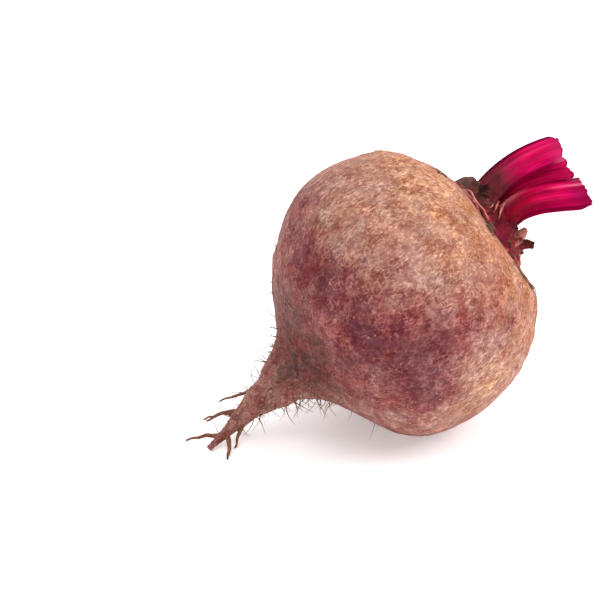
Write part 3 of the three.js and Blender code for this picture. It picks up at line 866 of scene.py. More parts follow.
def crown_body(material):
    """The rough dome of the crown, with its old scars, the rims beside the lip and fine strands."""
    azimuth = even_turns(CROWN_SIDES)
    slope = smooth_line([*CROWN_OUTLINE, (0.3, 37.2), (0.1, 37.3)], CROWN_RINGS)
    slope = np.vstack([[(1.0, CROWN_SEAT + GAP)], slope])
    level = np.repeat(slope[:, 1], CROWN_SIDES)
    share = np.repeat(slope[:, 0], CROWN_SIDES)
    azimuth = np.tile(azimuth, len(slope))
    radius = crown_radius(azimuth, share)
    points = round_axis(radius, azimuth, level)
    strands = round_axis(15, azimuth, 0.14 * radius + 0.2 * level)
    strands = 0.6 * uneven(strands, 1.5, 13) + 0.4 * uneven(strands, 0.6, 15)
    scars, rims = scar_relief(np.abs(radius), azimuth), rim_relief(share, azimuth)
    rough = 0.3 * uneven(points, 2.4, 11) + 0.2 * uneven(points, 0.9, 12)
    clear_of_rims = 1 - smooth(share, 0.8, 0.86) * facing(azimuth, RIM_SIDE, RIM_WIDTH)
    points[:, 2] += share * lip_dip(azimuth)
    points[:, 2] += smooth(level, 29.0, 29.7) * (scars + rims + clear_of_rims * (rough + 0.7 * strands))
    foot, top = [0, 0, CROWN_SEAT + GAP], points[-CROWN_SIDES:].mean(0)
    faces = closed_faces(len(slope), CROWN_SIDES)
    crown = mesh_object("crown_tissue", np.vstack([points, foot, top]), faces, material)
    tone = 0.12 + 0.3 * (scars + strands) * clear_of_rims + 0.9 * np.maximum(rims, 0)
    # The groove between the two rims is darkened as painted shade.
    tone -= 0.35 * np.maximum(-rims, 0)
    tag_crown(crown, azimuth, share, tone)
    shown = smooth(level, 29.4, 30)
    behind = 1 - facing(azimuth, BARE_SIDE, 1.3)
    gritty = smooth(uneven(points, 5, 14), 0.0, 0.5) + 3 * soil_spot(azimuth, share)
    tag(crown, "scaly", behind * shown * (0.15 + bump(level, 30.2, 0.7)), ends=(0, 0))
    tag(crown, "gritty", shown * gritty * clear_of_rims, ends=(0, 0))
    return crown


def soil_spot(azimuth, share):
    """1 on the one patch of caked soil at the crown's edge, 0 elsewhere."""
    return facing(azimuth, CROWN_SOIL_SIDE, 0.1) * smooth(share, 0.8, 0.88)


def tag_crown(crown, azimuth, share, tone):
    """How pale, how dead and how purple the crown's tissue is at each vertex, with painted shade in a
    crevice on one side.
    """
    dead = 0.8 * smooth(share, 0.8, 0.6) * (1 - facing(azimuth, FRONT, 0.8))
    dead += 0.7 * facing(azimuth, DEAD_SIDE, 0.6)
    live = facing(azimuth, LIVE_SIDE, 0.36) * smooth(share, 0.99, 0.9)
    spot = soil_spot(azimuth, share)
    # A crevice on one side is darkened as painted shade.
    crevice_shade = facing(azimuth, CROWN_CREVICE_SIDE, 0.2) * smooth(share, 0.84, 0.72)
    tone = tone + 0.25 * facing(azimuth, LOW_SHOULDER_SIDE, 0.3) - 0.3 * crevice_shade
    dead, live = (dead + spot) * (1 - crevice_shade), live * (1 - spot)
    tag(crown, "tone", tone, ends=(0, 0.2))
    tag(crown, "dead", np.clip(dead - live, 0, 1), ends=(0, 0.8))
    tag(crown, "live", np.clip(live, 0, 1), ends=(0, 0))


# Dried stumps of earlier leaves: azimuth in degrees, distance from the axis, size, outward curl, twist in
# degrees, how round, how pale and how dead.
STUMP_FIELDS = ("at", "radius", "width", "height", "thick", "curl", "twist", "round", "tone", "dead")
STUMPS = [
    (152, 13.0, 8.8, 3.6, 5.6, 0.3, 0, 0.8, 0.1, 1),
    (186, 13.8, 4.6, 2.8, 1.5, 1.2, 12, 0.3, 0.2, 0.8),
    (-30, 10.4, 4.2, 4.3, 3.0, 2.6, -14, 0.6, 0.1, 0.1),
    (-62, 9.4, 3.2, 3.1, 3.2, -0.6, 20, 0.6, 0.5, 0.5),
    (-68, 11.4, 2.0, 1.5, 1.4, 0.5, -20, 0.1, 0.4, 0.2),
    (8, 13.4, 5.6, 4.2, 1.5, 1.8, 8, 0.2, 0.3, 0.7),
    (46, 12.6, 6.4, 5.6, 1.6, 1.4, -6, 0.2, 0.4, 0.4),
    (92, 12.2, 6.8, 6.2, 1.6, 2.2, 10, 0.2, 0.3, 0.7),
    (120, 14.0, 4.4, 3.4, 1.3, 1.2, -10, 0.2, 0.5, 0.2),
]


def crown_level(radius):
    """The crown's height at a distance from its axis."""
    outline = np.array(CROWN_OUTLINE[1:])[::-1]
    return np.interp(radius / CROWN_RADIUS, outline[:, 0], outline[:, 1])


def stump(index, material):
    """A curled tongue with a crescent section, ragged at its tip and sunk into the crown."""
    s = dict(zip(STUMP_FIELDS, STUMPS[index]))
    azimuth = radians(s["at"])
    out = heading(azimuth)
    across = heading(azimuth + pi / 2 + radians(s["twist"]))
    thickness = np.cross(across, [0, 0, 1])
    sides, steps, sunk = 30, 18, 2.2
    turn = even_turns(sides)
    ragged = 0.7 * uneven([[cos(t), sin(t), index * 3.0] for t in turn], 0.6, 31)
    points = []
    for along in np.linspace(0, 1, steps):
        rise = along * (s["height"] + sunk) - sunk
        lean = s["curl"] * max(rise / s["height"], 0) ** 2
        centre = out * (s["radius"] + lean)
        rounded = 1 - 0.55 * s["round"] * smooth(along, 0.5, 1) ** 2
        u = s["width"] / 2 * mix(1.1, 0.82, along) * np.cos(turn) * rounded
        v = s["thick"] / 2 * np.sin(turn) * mix(1.2, 0.8, along) * rounded - 0.09 * u * u
        droop = atan(2 * s["curl"] * max(rise, 0) / s["height"] ** 2)
        ring = centre + u[:, None] * across + (v * cos(droop))[:, None] * thickness
        ring[:, 2] = crown_level(s["radius"]) + rise - 0.25 * lean + along**3 * ragged - v * sin(droop)
        fluting = 0.14 * np.sin(9 * turn + index) + 0.3 * uneven(ring, 1.7, 32)
        outward = np.cos(turn)[:, None] * across + np.sin(turn)[:, None] * thickness
        ring += (fluting * along)[:, None] * outward
        points.append(ring)
    top = points[-1].mean(0)
    hollow = 1.1 - 1.5 * s["round"]
    for share in (0.86, 0.6, 0.3):
        points.append(mix(top, points[steps - 1], share) - [0, 0, hollow * (1 - share)])
    rings = len(points)
    points = np.vstack([*points, points[0].mean(0), top - [0, 0, hollow]])
    piece = mesh_object(f"stump_{index}", points, closed_faces(rings, sides), material)
    shaded = np.repeat([0.0] * steps + [0.3, 0.45, 0.5], sides) * (1 - s["round"])
    outer_face = np.tile(0.25 * np.maximum(np.sin(turn), 0), rings)
    tag(piece, "tone", s["tone"] - shaded + outer_face, ends=(0, -0.2))
    tag(piece, "dead", s["dead"])
    tag(piece, "live", 0)
    return piece


# ---------------------------------------------------------------- the leaf stalks

BUNDLE = [(-2.6, 33.4), (-3.2, 38.0), (-3.5, 43.5), (-2.5, 49.5), (-0.4, 55.3), (2.5, 61.3)]
FAN_SIDE = heading(FAN_AZIMUTH)
FAN_BACK = np.array([-sin(FAN_AZIMUTH), cos(FAN_AZIMUTH), 0])
# A stalk's deep darkens all of it as painted shade, and its wine share makes its foot wine-dark, partly as
# painted shade where it meets the crown.
STALKS = {
    "stalk_upper_front": dict(
        foot=(150, 267), end=(164, 250), band=(0.5, 1), slant=-0.06, back=3.0, ribs=6, seed=3,
        fresh=-0.16, deep=0.02, wine_and_shade=0.0, sheath=0.0,
    ),
    "stalk_lower_front": dict(
        foot=(273, 372), end=(283, 362), band=(0.48, 1), slant=0.36, back=0, ribs=5, seed=8,
        fresh=0.05, deep=0.17, wine_and_shade=1.0, sheath=1.0,
    ),
    "stalk_upper_back": dict(
        foot=(92, 144), end=(96, 150), band=(0.5, 0.98), slant=0.2, back=1.4, ribs=4, seed=5,
        fresh=-0.04, deep=0.05, wine_and_shade=0.3, sheath=0.3,
    ),
    "stalk_lower_back": dict(
        foot=(18, 86), end=(20, 84), band=(0.5, 1), slant=0.25, back=0.5, ribs=4, seed=12,
        fresh=0.0, deep=0.1, wine_and_shade=0.5, sheath=0.3,
    ),
    "stalk_inner": dict(
        foot=(-180, 180), end=(-180, 180), band=(0, 0.4), slant=0.29, back=0.5, ribs=5, seed=15,
        fresh=-0.02, deep=0.05, wine_and_shade=0.8, sheath=0.0,
    ),
}
STALK_SIDES = 96
STALK_STEPS = 76
TOOTH = 0.55
CUT_SHARES = (0.97, 0.88, 0.7, 0.45, 0.2)
CUT_HOLLOW = 0.9
UPPER_EDGE = radians(193)
LOWER_EDGE = radians(-26)
BUNDLE_STEPS = 400
BUNDLE_HALF_WIDTHS = (9.0, 12.2)
BUNDLE_HALF_DEPTHS = (6.5, 7.6)

bundle_line = smooth_line([lean * FAN_SIDE + [0, 0, z] for lean, z in BUNDLE], BUNDLE_STEPS + 1)
bundle_ahead = across_line(bundle_line)[0]


def in_bundle(along, share, azimuth, lift):
    """Points across the bundle of stalks, in shares of its half width and half depth."""
    step = np.rint(np.asarray(along) * BUNDLE_STEPS).astype(int)
    ahead = bundle_ahead[step]
    side = np.cross(FAN_BACK, ahead)
    side /= np.linalg.norm(side, axis=-1, keepdims=True)
    wide = share * mix(*BUNDLE_HALF_WIDTHS, smooth(along, 0.05, 1)) * np.cos(azimuth)
    deep = share * mix(*BUNDLE_HALF_DEPTHS, along) * np.sin(azimuth)
    lift = np.broadcast_to(lift, np.shape(wide))
    return bundle_line[step] + wide[:, None] * side + deep[:, None] * FAN_BACK + lift[:, None] * ahead


def signed_power(x, power):
    """A power that keeps the sign, to make a section blunter."""
    return np.sign(x) * np.abs(x) ** power


def stalk_ring(shape, along, turn, lift):
    """One section of a stalk, how far its ribs stand out and where it lies round the bundle."""
    inner, outer = shape["band"]
    ribs = shape["ribs"]
    if inner == 0:
        rib = np.cos(ribs * turn)
        share = outer * (1 + 0.07 * rib) * mix(0.8, 1, along)
        return in_bundle(along, share, turn, lift), rib, turn
    start, stop = (mix(a, b, along) for a, b in zip(shape["foot"], shape["end"]))
    across = signed_power(np.cos(turn), 0.85)
    azimuth = np.radians((start + stop) / 2 + (stop - start) / 2 * across)
    up = np.maximum(np.sin(turn), 0)
    middle = mix(0.62, 0.48, np.sqrt(up)) * (inner + outer)
    reach = np.where(np.sin(turn) > 0, outer - middle, middle - inner)
    coarse = np.cos(ribs * pi * across + 0.8 * np.sin(3 * along + shape["seed"]))
    fine = np.cos(3 * ribs * pi * across + shape["seed"] + 1.5 * np.sin(4 * along))
    rib = (0.7 * coarse + 0.3 * fine) * up
    share = middle + reach * signed_power(np.sin(turn), 0.75) - 0.02
    share += (0.035 * coarse + 0.011 * fine) * up * mix(0.5, 1, along)
    share -= 0.11 * np.cos(azimuth) ** 8 * smooth(along, 0.86, 1) ** 2
    return in_bundle(along, share, azimuth, lift), rib, azimuth


def stalk(name, flesh, cut):
    """A ribbed stalk, cut ragged at its top, with a slightly hollow face across the cut."""
    shape = STALKS[name]
    turn = even_turns(STALK_SIDES)
    around = [[2 * cos(t), 2 * sin(t), shape["seed"]] for t in turn]
    teeth = TOOTH * (1.6 * uneven(around, 0.5, 41) + 0.9 * uneven(around, 0.16, 42))
    rings, ribs, alongs, places = [], [], [], []
    for along in np.linspace(0, 1, STALK_STEPS):
        flat, rib, azimuth = stalk_ring(shape, along, turn, 0.0)
        lean = (flat - bundle_line[int(round(along * BUNDLE_STEPS))]) @ FAN_SIDE
        lift = along**2 * (shape["slant"] * lean - shape["back"]) + along**10 * teeth
        rings.append(stalk_ring(shape, along, turn, lift)[0])
        ribs.append(rib)
        alongs.append(np.full(STALK_SIDES, along))
        places.append(azimuth)
    centre = rings[-1].mean(0)
    rings += cut_rings(centre, rings[-1])
    ribs += [np.zeros(STALK_SIDES)] * len(CUT_SHARES)
    alongs += [np.ones(STALK_SIDES)] * len(CUT_SHARES)
    places += [places[-1]] * len(CUT_SHARES)
    count = len(rings)
    points = np.vstack([*rings, rings[0].mean(0), centre - CUT_HOLLOW * bundle_ahead[-1]])
    piece = mesh_object(name + "_flesh", points, closed_faces(count, STALK_SIDES), flesh)
    piece.data.materials.append(cut)
    cut_from = (STALK_STEPS - 1) * STALK_SIDES
    for face in piece.data.polygons:
        face.material_index = int(min(face.vertices) >= cut_from)
    near_cut = abs(np.repeat(np.arange(count), STALK_SIDES) - STALK_STEPS) < 1.5
    tag(piece, "torn", near_cut, ends=(0, 0))
    tag(piece, "rib", np.concatenate(ribs), ends=(0, 0))
    tag_stalk(piece, shape, turn, np.concatenate([*alongs, [0, 1]]), np.concatenate([*places, [0, 0]]))
    map_round(piece, count)
    return piece


def cut_rings(centre, rim):
    """Rings across the cut, sinking and roughening towards its middle."""
    rings = []
    for share in CUT_SHARES:
        sunk = CUT_HOLLOW * (1 - share) ** 0.6
        ring = mix(centre, rim, share) - sunk * bundle_ahead[-1]
        rings.append(ring + 0.25 * uneven(ring, 1.0, 43)[:, None] * bundle_ahead[-1])
    return rings


def tag_stalk(piece, shape, turn, along, place):
    """How fresh the flesh is at each vertex, how deep its painted shade, how pale and highlighted and how
    dark, from its place along and round.
    """
    parted = shape["band"][0] > 0

    def all_along(values):
        """Values round one ring, given to every ring, with 0 for the two closing points."""
        return np.append(np.tile(values, STALK_STEPS + len(CUT_SHARES)), [0, 0])

    edge = all_along(np.abs(np.cos(turn)) ** 9 * parted)
    inward = all_along(smooth(-np.cos(turn), 0, 0.6))
    pale_and_highlight = edge * (shape["sheath"] * inward * bump(along, 0.22, 0.16) + 0.5 * smooth(along, 0.85, 0.98))
    # A pale line below the lower front stalk's upper edge is a painted highlight along a groove.
    highlight_line = all_along(bump(np.cos(turn), -0.72, 0.035) * (np.sin(turn) > 0))
    pale_and_highlight += shape["sheath"] * highlight_line * smooth(along, 0.55, 1.0)
    # The fan's two outer sides, which turn away from the light, are darkened as painted shade.
    outer = facing(place, UPPER_EDGE, 0.2 + 0.25 * smooth(along, 0.8, 1))
    outer = parted * (outer + 0.6 * facing(place, LOWER_EDGE, 0.2))
    dark = np.maximum(outer, 0.6 * edge) * smooth(along, 0.1, 0.35)
    dark = np.maximum(dark, 0.8 * smooth(along, 0.975, 0.99))
    tired = 0.65 * max(shape["sheath"], 0.5 * shape["wine_and_shade"])
    dark = np.maximum(dark, tired * smooth(along, 0.72, 0.97))
    # deep is painted shade over the whole stalk.
    for key in ("fresh", "deep", "wine_and_shade"):
        tag(piece, key, shape[key])
    tag(piece, "along", along)
    tag(piece, "pale_and_highlight", pale_and_highlight)
    tag(piece, "dark", np.clip(dark - pale_and_highlight, 0, 1))


def map_round(piece, rings):
    """A map whose u runs round a stalk and v along it."""
    layer = piece.data.uv_layers.new(name="strands")
    for face in piece.data.polygons:
        sides = [v % STALK_SIDES for v in face.vertices]
        wraps = max(sides) - min(sides) > STALK_SIDES / 2
        for corner, vertex in zip(face.loop_indices, face.vertices):
            side = vertex % STALK_SIDES
            if wraps and side < STALK_SIDES / 2:
                side += STALK_SIDES
            layer.data[corner].uv = (side / STALK_SIDES, vertex // STALK_SIDES / rings)


# ---------------------------------------------------------------- leaf bases, fibres and peeling skin

BASE_SIDES = 320
BASE_ROWS = 34
CREVICE_SIDE = radians(197)
SUNNY_SIDE = radians(-72)
WITHERED_SIDE = radians(178)
FIBRE_STEPS = 40
FIBRE_SIDES = 12


def on_crown(azimuth, share):
    """Points on the crown's slope."""
    outline = np.array(CROWN_OUTLINE[::-1])
    level = np.interp(share, outline[:, 0], outline[:, 1]) + share * lip_dip(azimuth)
    return round_axis(crown_radius(azimuth, share), azimuth, level)


def leaf_bases(material):
    """The flared bases with which the stalks clasp the crown, ragged and streaked at the top."""
    turn = even_turns(BASE_SIDES)
    azimuth = turn + FAN_AZIMUTH
    around = round_axis(9, turn, 0)
    sunny = facing(azimuth, SUNNY_SIDE, 0.7)
    top = 0.17 + (1 - 0.7 * sunny) * (0.05 * uneven(around, 2.4, 70) + 0.03 * uneven(around, 0.8, 71))
    top -= 0.1 * sunny
    start, middle = on_crown(azimuth, 0.86), in_bundle(0.06, 1.12, turn, 0.0)
    stop, tucked = in_bundle(top, 1.03, turn, 0.0), in_bundle(top + 0.01, 0.9, turn, 0.0)
    outward = round_axis(1, azimuth, 0)
    rows, streaks = [], []
    for t in np.linspace(0, 1, BASE_ROWS):
        row = (1 - t) ** 2 * start + 2 * t * (1 - t) * middle + t * t * stop
        rise = [0, 0, 0.7 * t]
        streak = 0.6 * uneven(around + rise, 1.3, 72) + 0.5 * uneven(around + rise, 0.5, 73)
        rows.append(row + (0.3 * streak * smooth(t, 0, 0.2) * smooth(t, 1.05, 0.8))[:, None] * outward)
        streaks.append(streak)
    streaks = np.concatenate([*streaks, 0 * turn])
    points = np.vstack([*rows, tucked, [0, 0, CROWN_SEAT + 2], in_bundle(0.2, 0.0, turn[:1], 0.0)])
    piece = mesh_object("leaf_bases", points, closed_faces(BASE_ROWS + 1, BASE_SIDES), material)
    azimuth = np.tile(azimuth, BASE_ROWS + 1)
    live = facing(azimuth, LIVE_SIDE, 0.45)
    # A crevice on one side is darkened as painted shade.
    crevice_shade = facing(azimuth, CREVICE_SIDE, 0.26)
    dead = 0.8 * facing(azimuth, WITHERED_SIDE, 0.5) + 0.3 * (1 - smooth(np.abs(azimuth), 0, 1))
    dead *= 1 - crevice_shade
    tone = 0.22 + 0.2 * streaks - 0.4 * crevice_shade
    for key, values in (("tone", tone), ("live", live), ("dead", np.clip(dead, 0, 1))):
        tag(piece, key, values, ends=(0, 0))
    return piece


# Pale fibres of a dead sheath between crown and stalks. Each has three points, given as azimuth in
# degrees, distance from the axis and height, and a radius.
SHEATH_FIBRES = [
    ((-136, 13.7, 32.9), (-138, 12.2, 34.4), (-143, 10.9, 35.8), 0.19),
    ((-129, 13.0, 33.3), (-134, 11.4, 35.3), (-143, 9.4, 37.7), 0.27),
    ((-117, 12.4, 33.3), (-126, 10.5, 35.7), (-134, 8.3, 37.9), 0.26),
    ((-121, 10.8, 34.9), (-132, 8.6, 37.6), (-147, 6.7, 40.2), 0.22),
]


def sheath_fibres(material):
    """Thin uneven fibres, thickest at their middle."""
    along = np.linspace(0, 1, FIBRE_STEPS)
    parts = []
    for k, (*course, radius) in enumerate(SHEATH_FIBRES):
        course = [(r * cos(radians(at)), r * sin(radians(at)), z) for at, r, z in course]
        line = smooth_line(course, FIBRE_STEPS)
        line += 0.16 * np.column_stack([uneven(line, 1.4, 80 + 3 * k + axis) for axis in range(3)])
        radii = radius * (0.25 + 0.75 * np.sin(pi * mix(0.1, 0.9, along)))
        parts.append(tapered_tube(line, radii * (1 + 0.3 * uneven(line, 0.9, 79)), FIBRE_SIDES))
    piece = pour("sheath_fibres", parts, material)
    along = np.tile(np.append(np.repeat(along, FIBRE_SIDES), [0, 1]), len(SHEATH_FIBRES))
    tag(piece, "tone", 0.4 + 0.24 * np.sin(pi * along))
    for key in ("dead", "live"):
        tag(piece, key, 0)
    return piece


# Dry slivers of skin that lift off the shoulder: azimuths of both ends in degrees, and height.
PEELS = [(-92, -58, 28.5), (24, 46, 28.9), (128, 158, 28.6)]
PEEL_STEPS = 48
PEEL_SIDES = 12
PEEL_WIDTH = 1.0
PEEL_THICKNESS = 0.18


def peels():
    """Slivers that follow the shoulder and lift off it towards their middle."""
    turn = even_turns(PEEL_SIDES)
    outline = np.array(SWELL_OUTLINE)[::-1]
    parts = []
    for start, stop, height in PEELS:
        rings = []
        for along in np.linspace(0, 1, PEEL_STEPS):
            azimuth = radians(mix(start, stop, along))
            z = height + 0.35 * sin(6 * along + start)
            out = np.interp(z, outline[:, 1], outline[:, 0]) + swell_relief(z, azimuth)
            lift = 0.12 + 0.55 * sin(pi * along) ** 2 * (1 + 0.3 * sin(11 * along + stop))
            wide = PEEL_WIDTH / 2 * sin(pi * mix(0.05, 0.97, along)) * np.cos(turn)
            wide *= 1 + 0.25 * sin(19 * along + start)
            thick = PEEL_THICKNESS / 2 * np.sin(turn)
            radius = out + 0.55 * (lift + thick) + 0.84 * wide
            up = level_at(z, azimuth) + 0.84 * (lift + thick) - 0.55 * wide
            rings.append(round_axis(radius, azimuth, up))
        parts.append(ring_stack(rings))
    return pour("shoulder_peels", parts, dry_fibre("peel", (84, 56, 44), (138, 98, 76)))


# ---------------------------------------------------------------- small things strewn over a surface

STREWING_INPUTS = {
    "Surface": "Geometry",
    "Tag": "String",
    "Per square metre": "Float",
    "Smallest": "Float",
    "Largest": "Float",
    "Lean": "Float",
    "Seed": "Int",
    "Shapes": "Collection",
    "Material": "Material",
}


def strewing_rule():
    """A node tree that strews small shapes over a surface, closer together where a tag is higher."""
    tree = bpy.data.node_groups.new("strewn over a surface", "GeometryNodeTree")
    for name, kind in STREWING_INPUTS.items():
        tree.interface.new_socket(name, in_out="INPUT", socket_type="NodeSocket" + kind)
    tree.interface.new_socket("Strewn", in_out="OUTPUT", socket_type="NodeSocketGeometry")
    given = tree.nodes.new("NodeGroupInput").outputs

    def node(kind, fed, **settings):
        return add_node(tree, kind, fed, **settings)

    def math(operation, a, b):
        return node("ShaderNodeMath", {0: a, 1: b}, operation=operation).outputs[0]

    def random(low, high, salt):
        seed = math("ADD", given["Seed"], float(salt))
        made = node("FunctionNodeRandomValue", {2: low, 3: high, "Seed": seed}, data_type="FLOAT")
        return made.outputs[1]

    tagged = node("GeometryNodeInputNamedAttribute", {"Name": given["Tag"]}, data_type="FLOAT")
    density = math("MULTIPLY", tagged.outputs[0], given["Per square metre"])
    points = node(
        "GeometryNodeDistributePointsOnFaces",
        {"Mesh": given["Surface"], "Density": density, "Seed": given["Seed"]},
    )
    forth = given["Lean"]
    back = math("SUBTRACT", 0.0, forth)
    turn = node(
        "ShaderNodeCombineXYZ",
        {"X": random(back, forth, 1), "Y": random(back, forth, 2), "Z": random(0.0, 2 * pi, 3)},
    )
    turned = node(
        "FunctionNodeRotateRotation",
        {"Rotation": points.outputs["Rotation"], "Rotate By": turn.outputs[0]},
        rotation_space="LOCAL",
    )
    shapes = node(
        "GeometryNodeCollectionInfo",
        {"Collection": given["Shapes"], "Separate Children": True, "Reset Children": True},
    )
    placed = node(
        "GeometryNodeInstanceOnPoints",
        {
            "Points": points.outputs["Points"],
            "Instance": shapes.outputs[0],
            "Pick Instance": True,
            "Rotation": turned.outputs[0],
            "Scale": random(given["Smallest"], given["Largest"], 4),
        },
    )
    real = node("GeometryNodeRealizeInstances", {"Geometry": placed.outputs[0]})
    painted = node("GeometryNodeSetMaterial", {"Geometry": real.outputs[0], "Material": given["Material"]})
    tree.links.new(painted.outputs[0], tree.nodes.new("NodeGroupOutput").inputs[0])
    return tree


def strew(name, surface, rule, **inputs):
    """A plain mesh of small shapes strewn over a piece."""
    host = in_scene(name, surface.data)
    modifier = host.modifiers.new("strewn", "NODES")
    modifier.node_group = rule
    for item in rule.interface.items_tree:
        if item.in_out == "INPUT" and item.name.replace(" ", "_") in inputs:
            modifier[item.identifier] = inputs[item.name.replace(" ", "_")]
    seen = host.evaluated_get(bpy.context.evaluated_depsgraph_get())
    mesh = bpy.data.meshes.new_from_object(seen)
    host.modifiers.clear()
    mesh.name = name
    host.data = mesh
    settle(host)
    return host


def shape_set(name, parts):
    """A collection of small shapes, each about one unit long, for strewing."""
    shapes = bpy.data.collections.new(name)
    for k, (points, faces) in enumerate(parts):
        shape = mesh_object(f"{name}_{k}", points, faces, None)
        shape.data.transform(shape_space())
        bpy.context.scene.collection.objects.unlink(shape)
        shapes.objects.link(shape)
    return shapes


def shape_space():
    """Undoes `at_rest`, so that a small shape stands at the origin in whole units."""
    lay_down = Matrix(LAY_DOWN.tolist()).to_4x4()
    return lay_down.inverted() @ Matrix.Scale(1 / MM, 4) @ Matrix.Translation(-Vector(SWELL_AT * MM))


def thread(bend, waver, thick):
    """A tapering curved thread, standing up from just below the surface."""
    up = np.linspace(-0.08, 1, 9)
    line = np.column_stack([bend * up**2, waver * np.sin(4.2 * up), up])
    return tapered_tube(line, thick * np.linspace(1, 0.25, 9), 6)


def scale_leaf(seed, wide, thick, curl):
    """A thin papery scale, curled and ragged."""
    up = np.linspace(-0.15, 1, 8)
    turn = even_turns(12)
    rings = []
    for step, z in enumerate(up):
        half = wide * (1 - 0.55 * max(z, 0) ** 2)
        x = half * np.cos(turn) + 0.08 * sin(seed + 2.3 * step)
        y = thick * np.sin(turn) + curl * max(z, 0) ** 2 - 0.5 * x * x
        tip = 0.16 * np.sin(3 * turn + seed) + 0.1 * np.sin(7 * turn + 2 * seed)
        rings.append(np.column_stack([x, y, z + tip * smooth(z, 0.5, 1)]))
    return ring_stack(rings)


def low_dome(seed, height, oval):
    """A low rough dome with an uneven outline, sunk a little into the surface."""
    turn = even_turns(10)
    outline = 0.5 * (1 + 0.14 * np.sin(2 * turn + seed) + 0.1 * np.sin(5 * turn + 3 * seed))
    rings = []
    for share, z in ((1.0, -0.12), (1.0, 0.0), (0.82, 0.55), (0.45, 0.9)):
        rough = 0.12 * np.sin(3 * turn + seed + 5 * share)
        out = outline * share
        level = (z + rough * (z > 0)) * height
        rings.append(np.column_stack([oval * out * np.cos(turn), out * np.sin(turn), level]))
    points = np.vstack([*rings, rings[0].mean(0), [0, 0, height]])
    return points, closed_faces(len(rings), 10)


# ---------------------------------------------------------------- the whole beetroot


def small_things(skin, crown, stalks):
    """Slivers, hairs and flecks of the skin, scales and soil of the crown, and torn strands at the cuts."""
    rule = strewing_rule()
    threads = [thread(0.35, 0.06, 0.03), thread(0.6, -0.1, 0.025), thread(0.15, 0.14, 0.028)]
    hairs = shape_set("hair", threads)
    scales = shape_set("scale", [scale_leaf(1, 0.42, 0.035, 0.3), scale_leaf(4, 0.3, 0.04, -0.2)])
    domes = shape_set("dome", [low_dome(1, 0.22, 1.3), low_dome(3, 0.26, 1.0), low_dome(6, 0.2, 1.7)])
    crumbs = shape_set("crumb", [low_dome(2, 0.7, 1.1), low_dome(5, 0.6, 0.9)])
    small = [
        peels(),
        strew(
            "root_hairs", skin, rule, Tag="sprout",
            Per_square_metre=150000.0, Smallest=0.0018, Largest=0.006, Lean=0.7, Seed=4,
            Shapes=hairs, Material=dry_fibre("root_hair", (92, 58, 44), (150, 104, 78)),
        ),
        strew(
            "skin_flecks", skin, rule, Tag="flecked",
            Per_square_metre=60000.0, Smallest=0.0003, Largest=0.0007, Lean=0.05, Seed=9,
            Shapes=domes, Material=dry_fibre("skin_fleck", (140, 84, 72), (200, 140, 118)),
        ),
        strew(
            "skin_soil", skin, rule, Tag="gritty",
            Per_square_metre=4000000.0, Smallest=0.0003, Largest=0.0008, Lean=0.4, Seed=7,
            Shapes=crumbs, Material=dry_fibre("skin_soil_crumb", (56, 40, 34), (112, 86, 70)),
        ),
        strew(
            "crown_scales", crown, rule, Tag="scaly",
            Per_square_metre=60000.0, Smallest=0.0008, Largest=0.0022, Lean=0.9, Seed=2,
            Shapes=scales, Material=dry_fibre("crown_scale", (84, 52, 48), (184, 136, 116)),
        ),
        strew(
            "crown_soil", crown, rule, Tag="gritty",
            Per_square_metre=260000.0, Smallest=0.0003, Largest=0.0009, Lean=0.4, Seed=6,
            Shapes=crumbs, Material=dry_fibre("crown_soil_crumb", (60, 34, 28), (122, 84, 68)),
        ),
    ]
    torn = [
        strew(
            f"{name}_torn_strands", piece, rule, Tag="torn",
            Per_square_metre=900000.0, Smallest=0.0005, Largest=0.0016, Lean=0.5, Seed=11,
            Shapes=hairs, Material=dry_fibre("torn_strand", (120, 40, 64), (196, 120, 140)),
        )
        for name, piece in stalks.items()
    ]
    return small + torn


def beetroot():
    """Every piece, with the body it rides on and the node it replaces."""
    flesh, cork = stalk_flesh(), crown_cork()
    skin = root_body()
    roots = side_roots()
    tissue = crown_body(cork)
    stumps = [stump(index, cork) for index in range(len(STUMPS))]
    crown = join("crown_cork", [tissue, *stumps, leaf_bases(cork), sheath_fibres(cork)])
    stalks = {name: stalk(name, flesh, cut_flesh()) for name in STALKS}
    small = small_things(skin, crown, stalks)
    for piece in (skin, roots, crown, *stalks.values(), *small):
        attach(piece, "root")
    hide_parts("swollen_root")
    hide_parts("crown")
    for name, piece in stalks.items():
        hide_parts(name)


# ---------------------------------------------------------------- floor, light and camera

FLOOR_SIZE = 6
FILL = 0.6
FLOOR_GLOW = 0.34

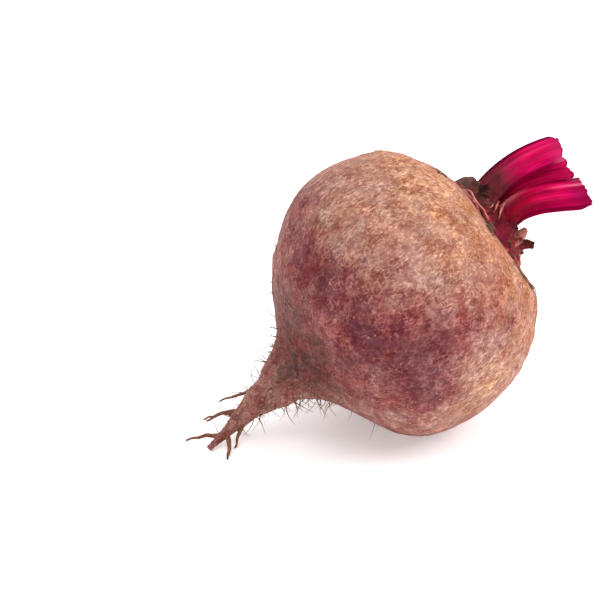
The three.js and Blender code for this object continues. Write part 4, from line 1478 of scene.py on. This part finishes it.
# Round soft lights: name, place, what it points at, width in metres and power in watts.
LIGHTS = [
    ("key", (0.95, -0.45, 0.9), (0, 0, 0.04), 0.9, 11.5),
    ("overhead", (-0.25, -0.3, 1.4), (0, 0, 0.04), 0.9, 7.0),
    ("backdrop", (0.1, 1.5, 1.3), (0.1, 1.0, 0), 1.5, 14.0),
]


def studio():
    """A plain pale floor under a broad soft key light from the right and a weak even fill."""
    bpy.ops.mesh.primitive_plane_add(size=FLOOR_SIZE)
    floor = bpy.context.object
    floor.name = "floor"
    paint = Finish(
        "floor_paint",
        Roughness=0.9,
        Base_Color=(0.93, 0.93, 0.93, 1),
        Specular_IOR_Level=0.1,
        Emission_Color=(1, 1, 1, 1),
        Emission_Strength=FLOOR_GLOW,
    )
    floor.data.materials.append(paint.material)
    world = bpy.data.worlds.new("even_fill")
    bpy.context.scene.world = world
    world.use_nodes = True
    world.node_tree.nodes["Background"].inputs["Color"].default_value = (1, 1, 1, 1)
    world.node_tree.nodes["Background"].inputs["Strength"].default_value = FILL
    for name, place, target, size, watts in LIGHTS:
        data = bpy.data.lights.new(name, "AREA")
        data.shape = "DISK"
        data.size = size
        data.energy = watts
        light = in_scene(name, data)
        light.location = place
        light.rotation_euler = (Vector(target) - Vector(place)).to_track_quat("-Z", "Y").to_euler()


CAMERA_AZIMUTH = radians(-18.5)
CAMERA_ELEVATION = radians(22)
CAMERA_DISTANCE = 0.4142
CAMERA_AIM = Vector((-0.02433, 0.00862, 0.03859))
LENS = 85
SENSOR_WIDTH = 36


def camera():
    """A long lens that looks down at the beetroot from the front."""
    data = bpy.data.cameras.new("camera")
    data.lens = LENS
    data.sensor_width = SENSOR_WIDTH
    data.clip_start = 0.01
    seen_from = in_scene("camera", data)
    level = cos(CAMERA_ELEVATION)
    ahead = Vector((-sin(CAMERA_AZIMUTH) * level, cos(CAMERA_AZIMUTH) * level, -sin(CAMERA_ELEVATION)))
    seen_from.location = CAMERA_AIM - CAMERA_DISTANCE * ahead
    seen_from.rotation_euler = ahead.to_track_quat("-Z", "Y").to_euler()
    bpy.context.scene.camera = seen_from


beetroot()
studio()
camera()
bpy.context.scene.view_settings.view_transform = "Standard"
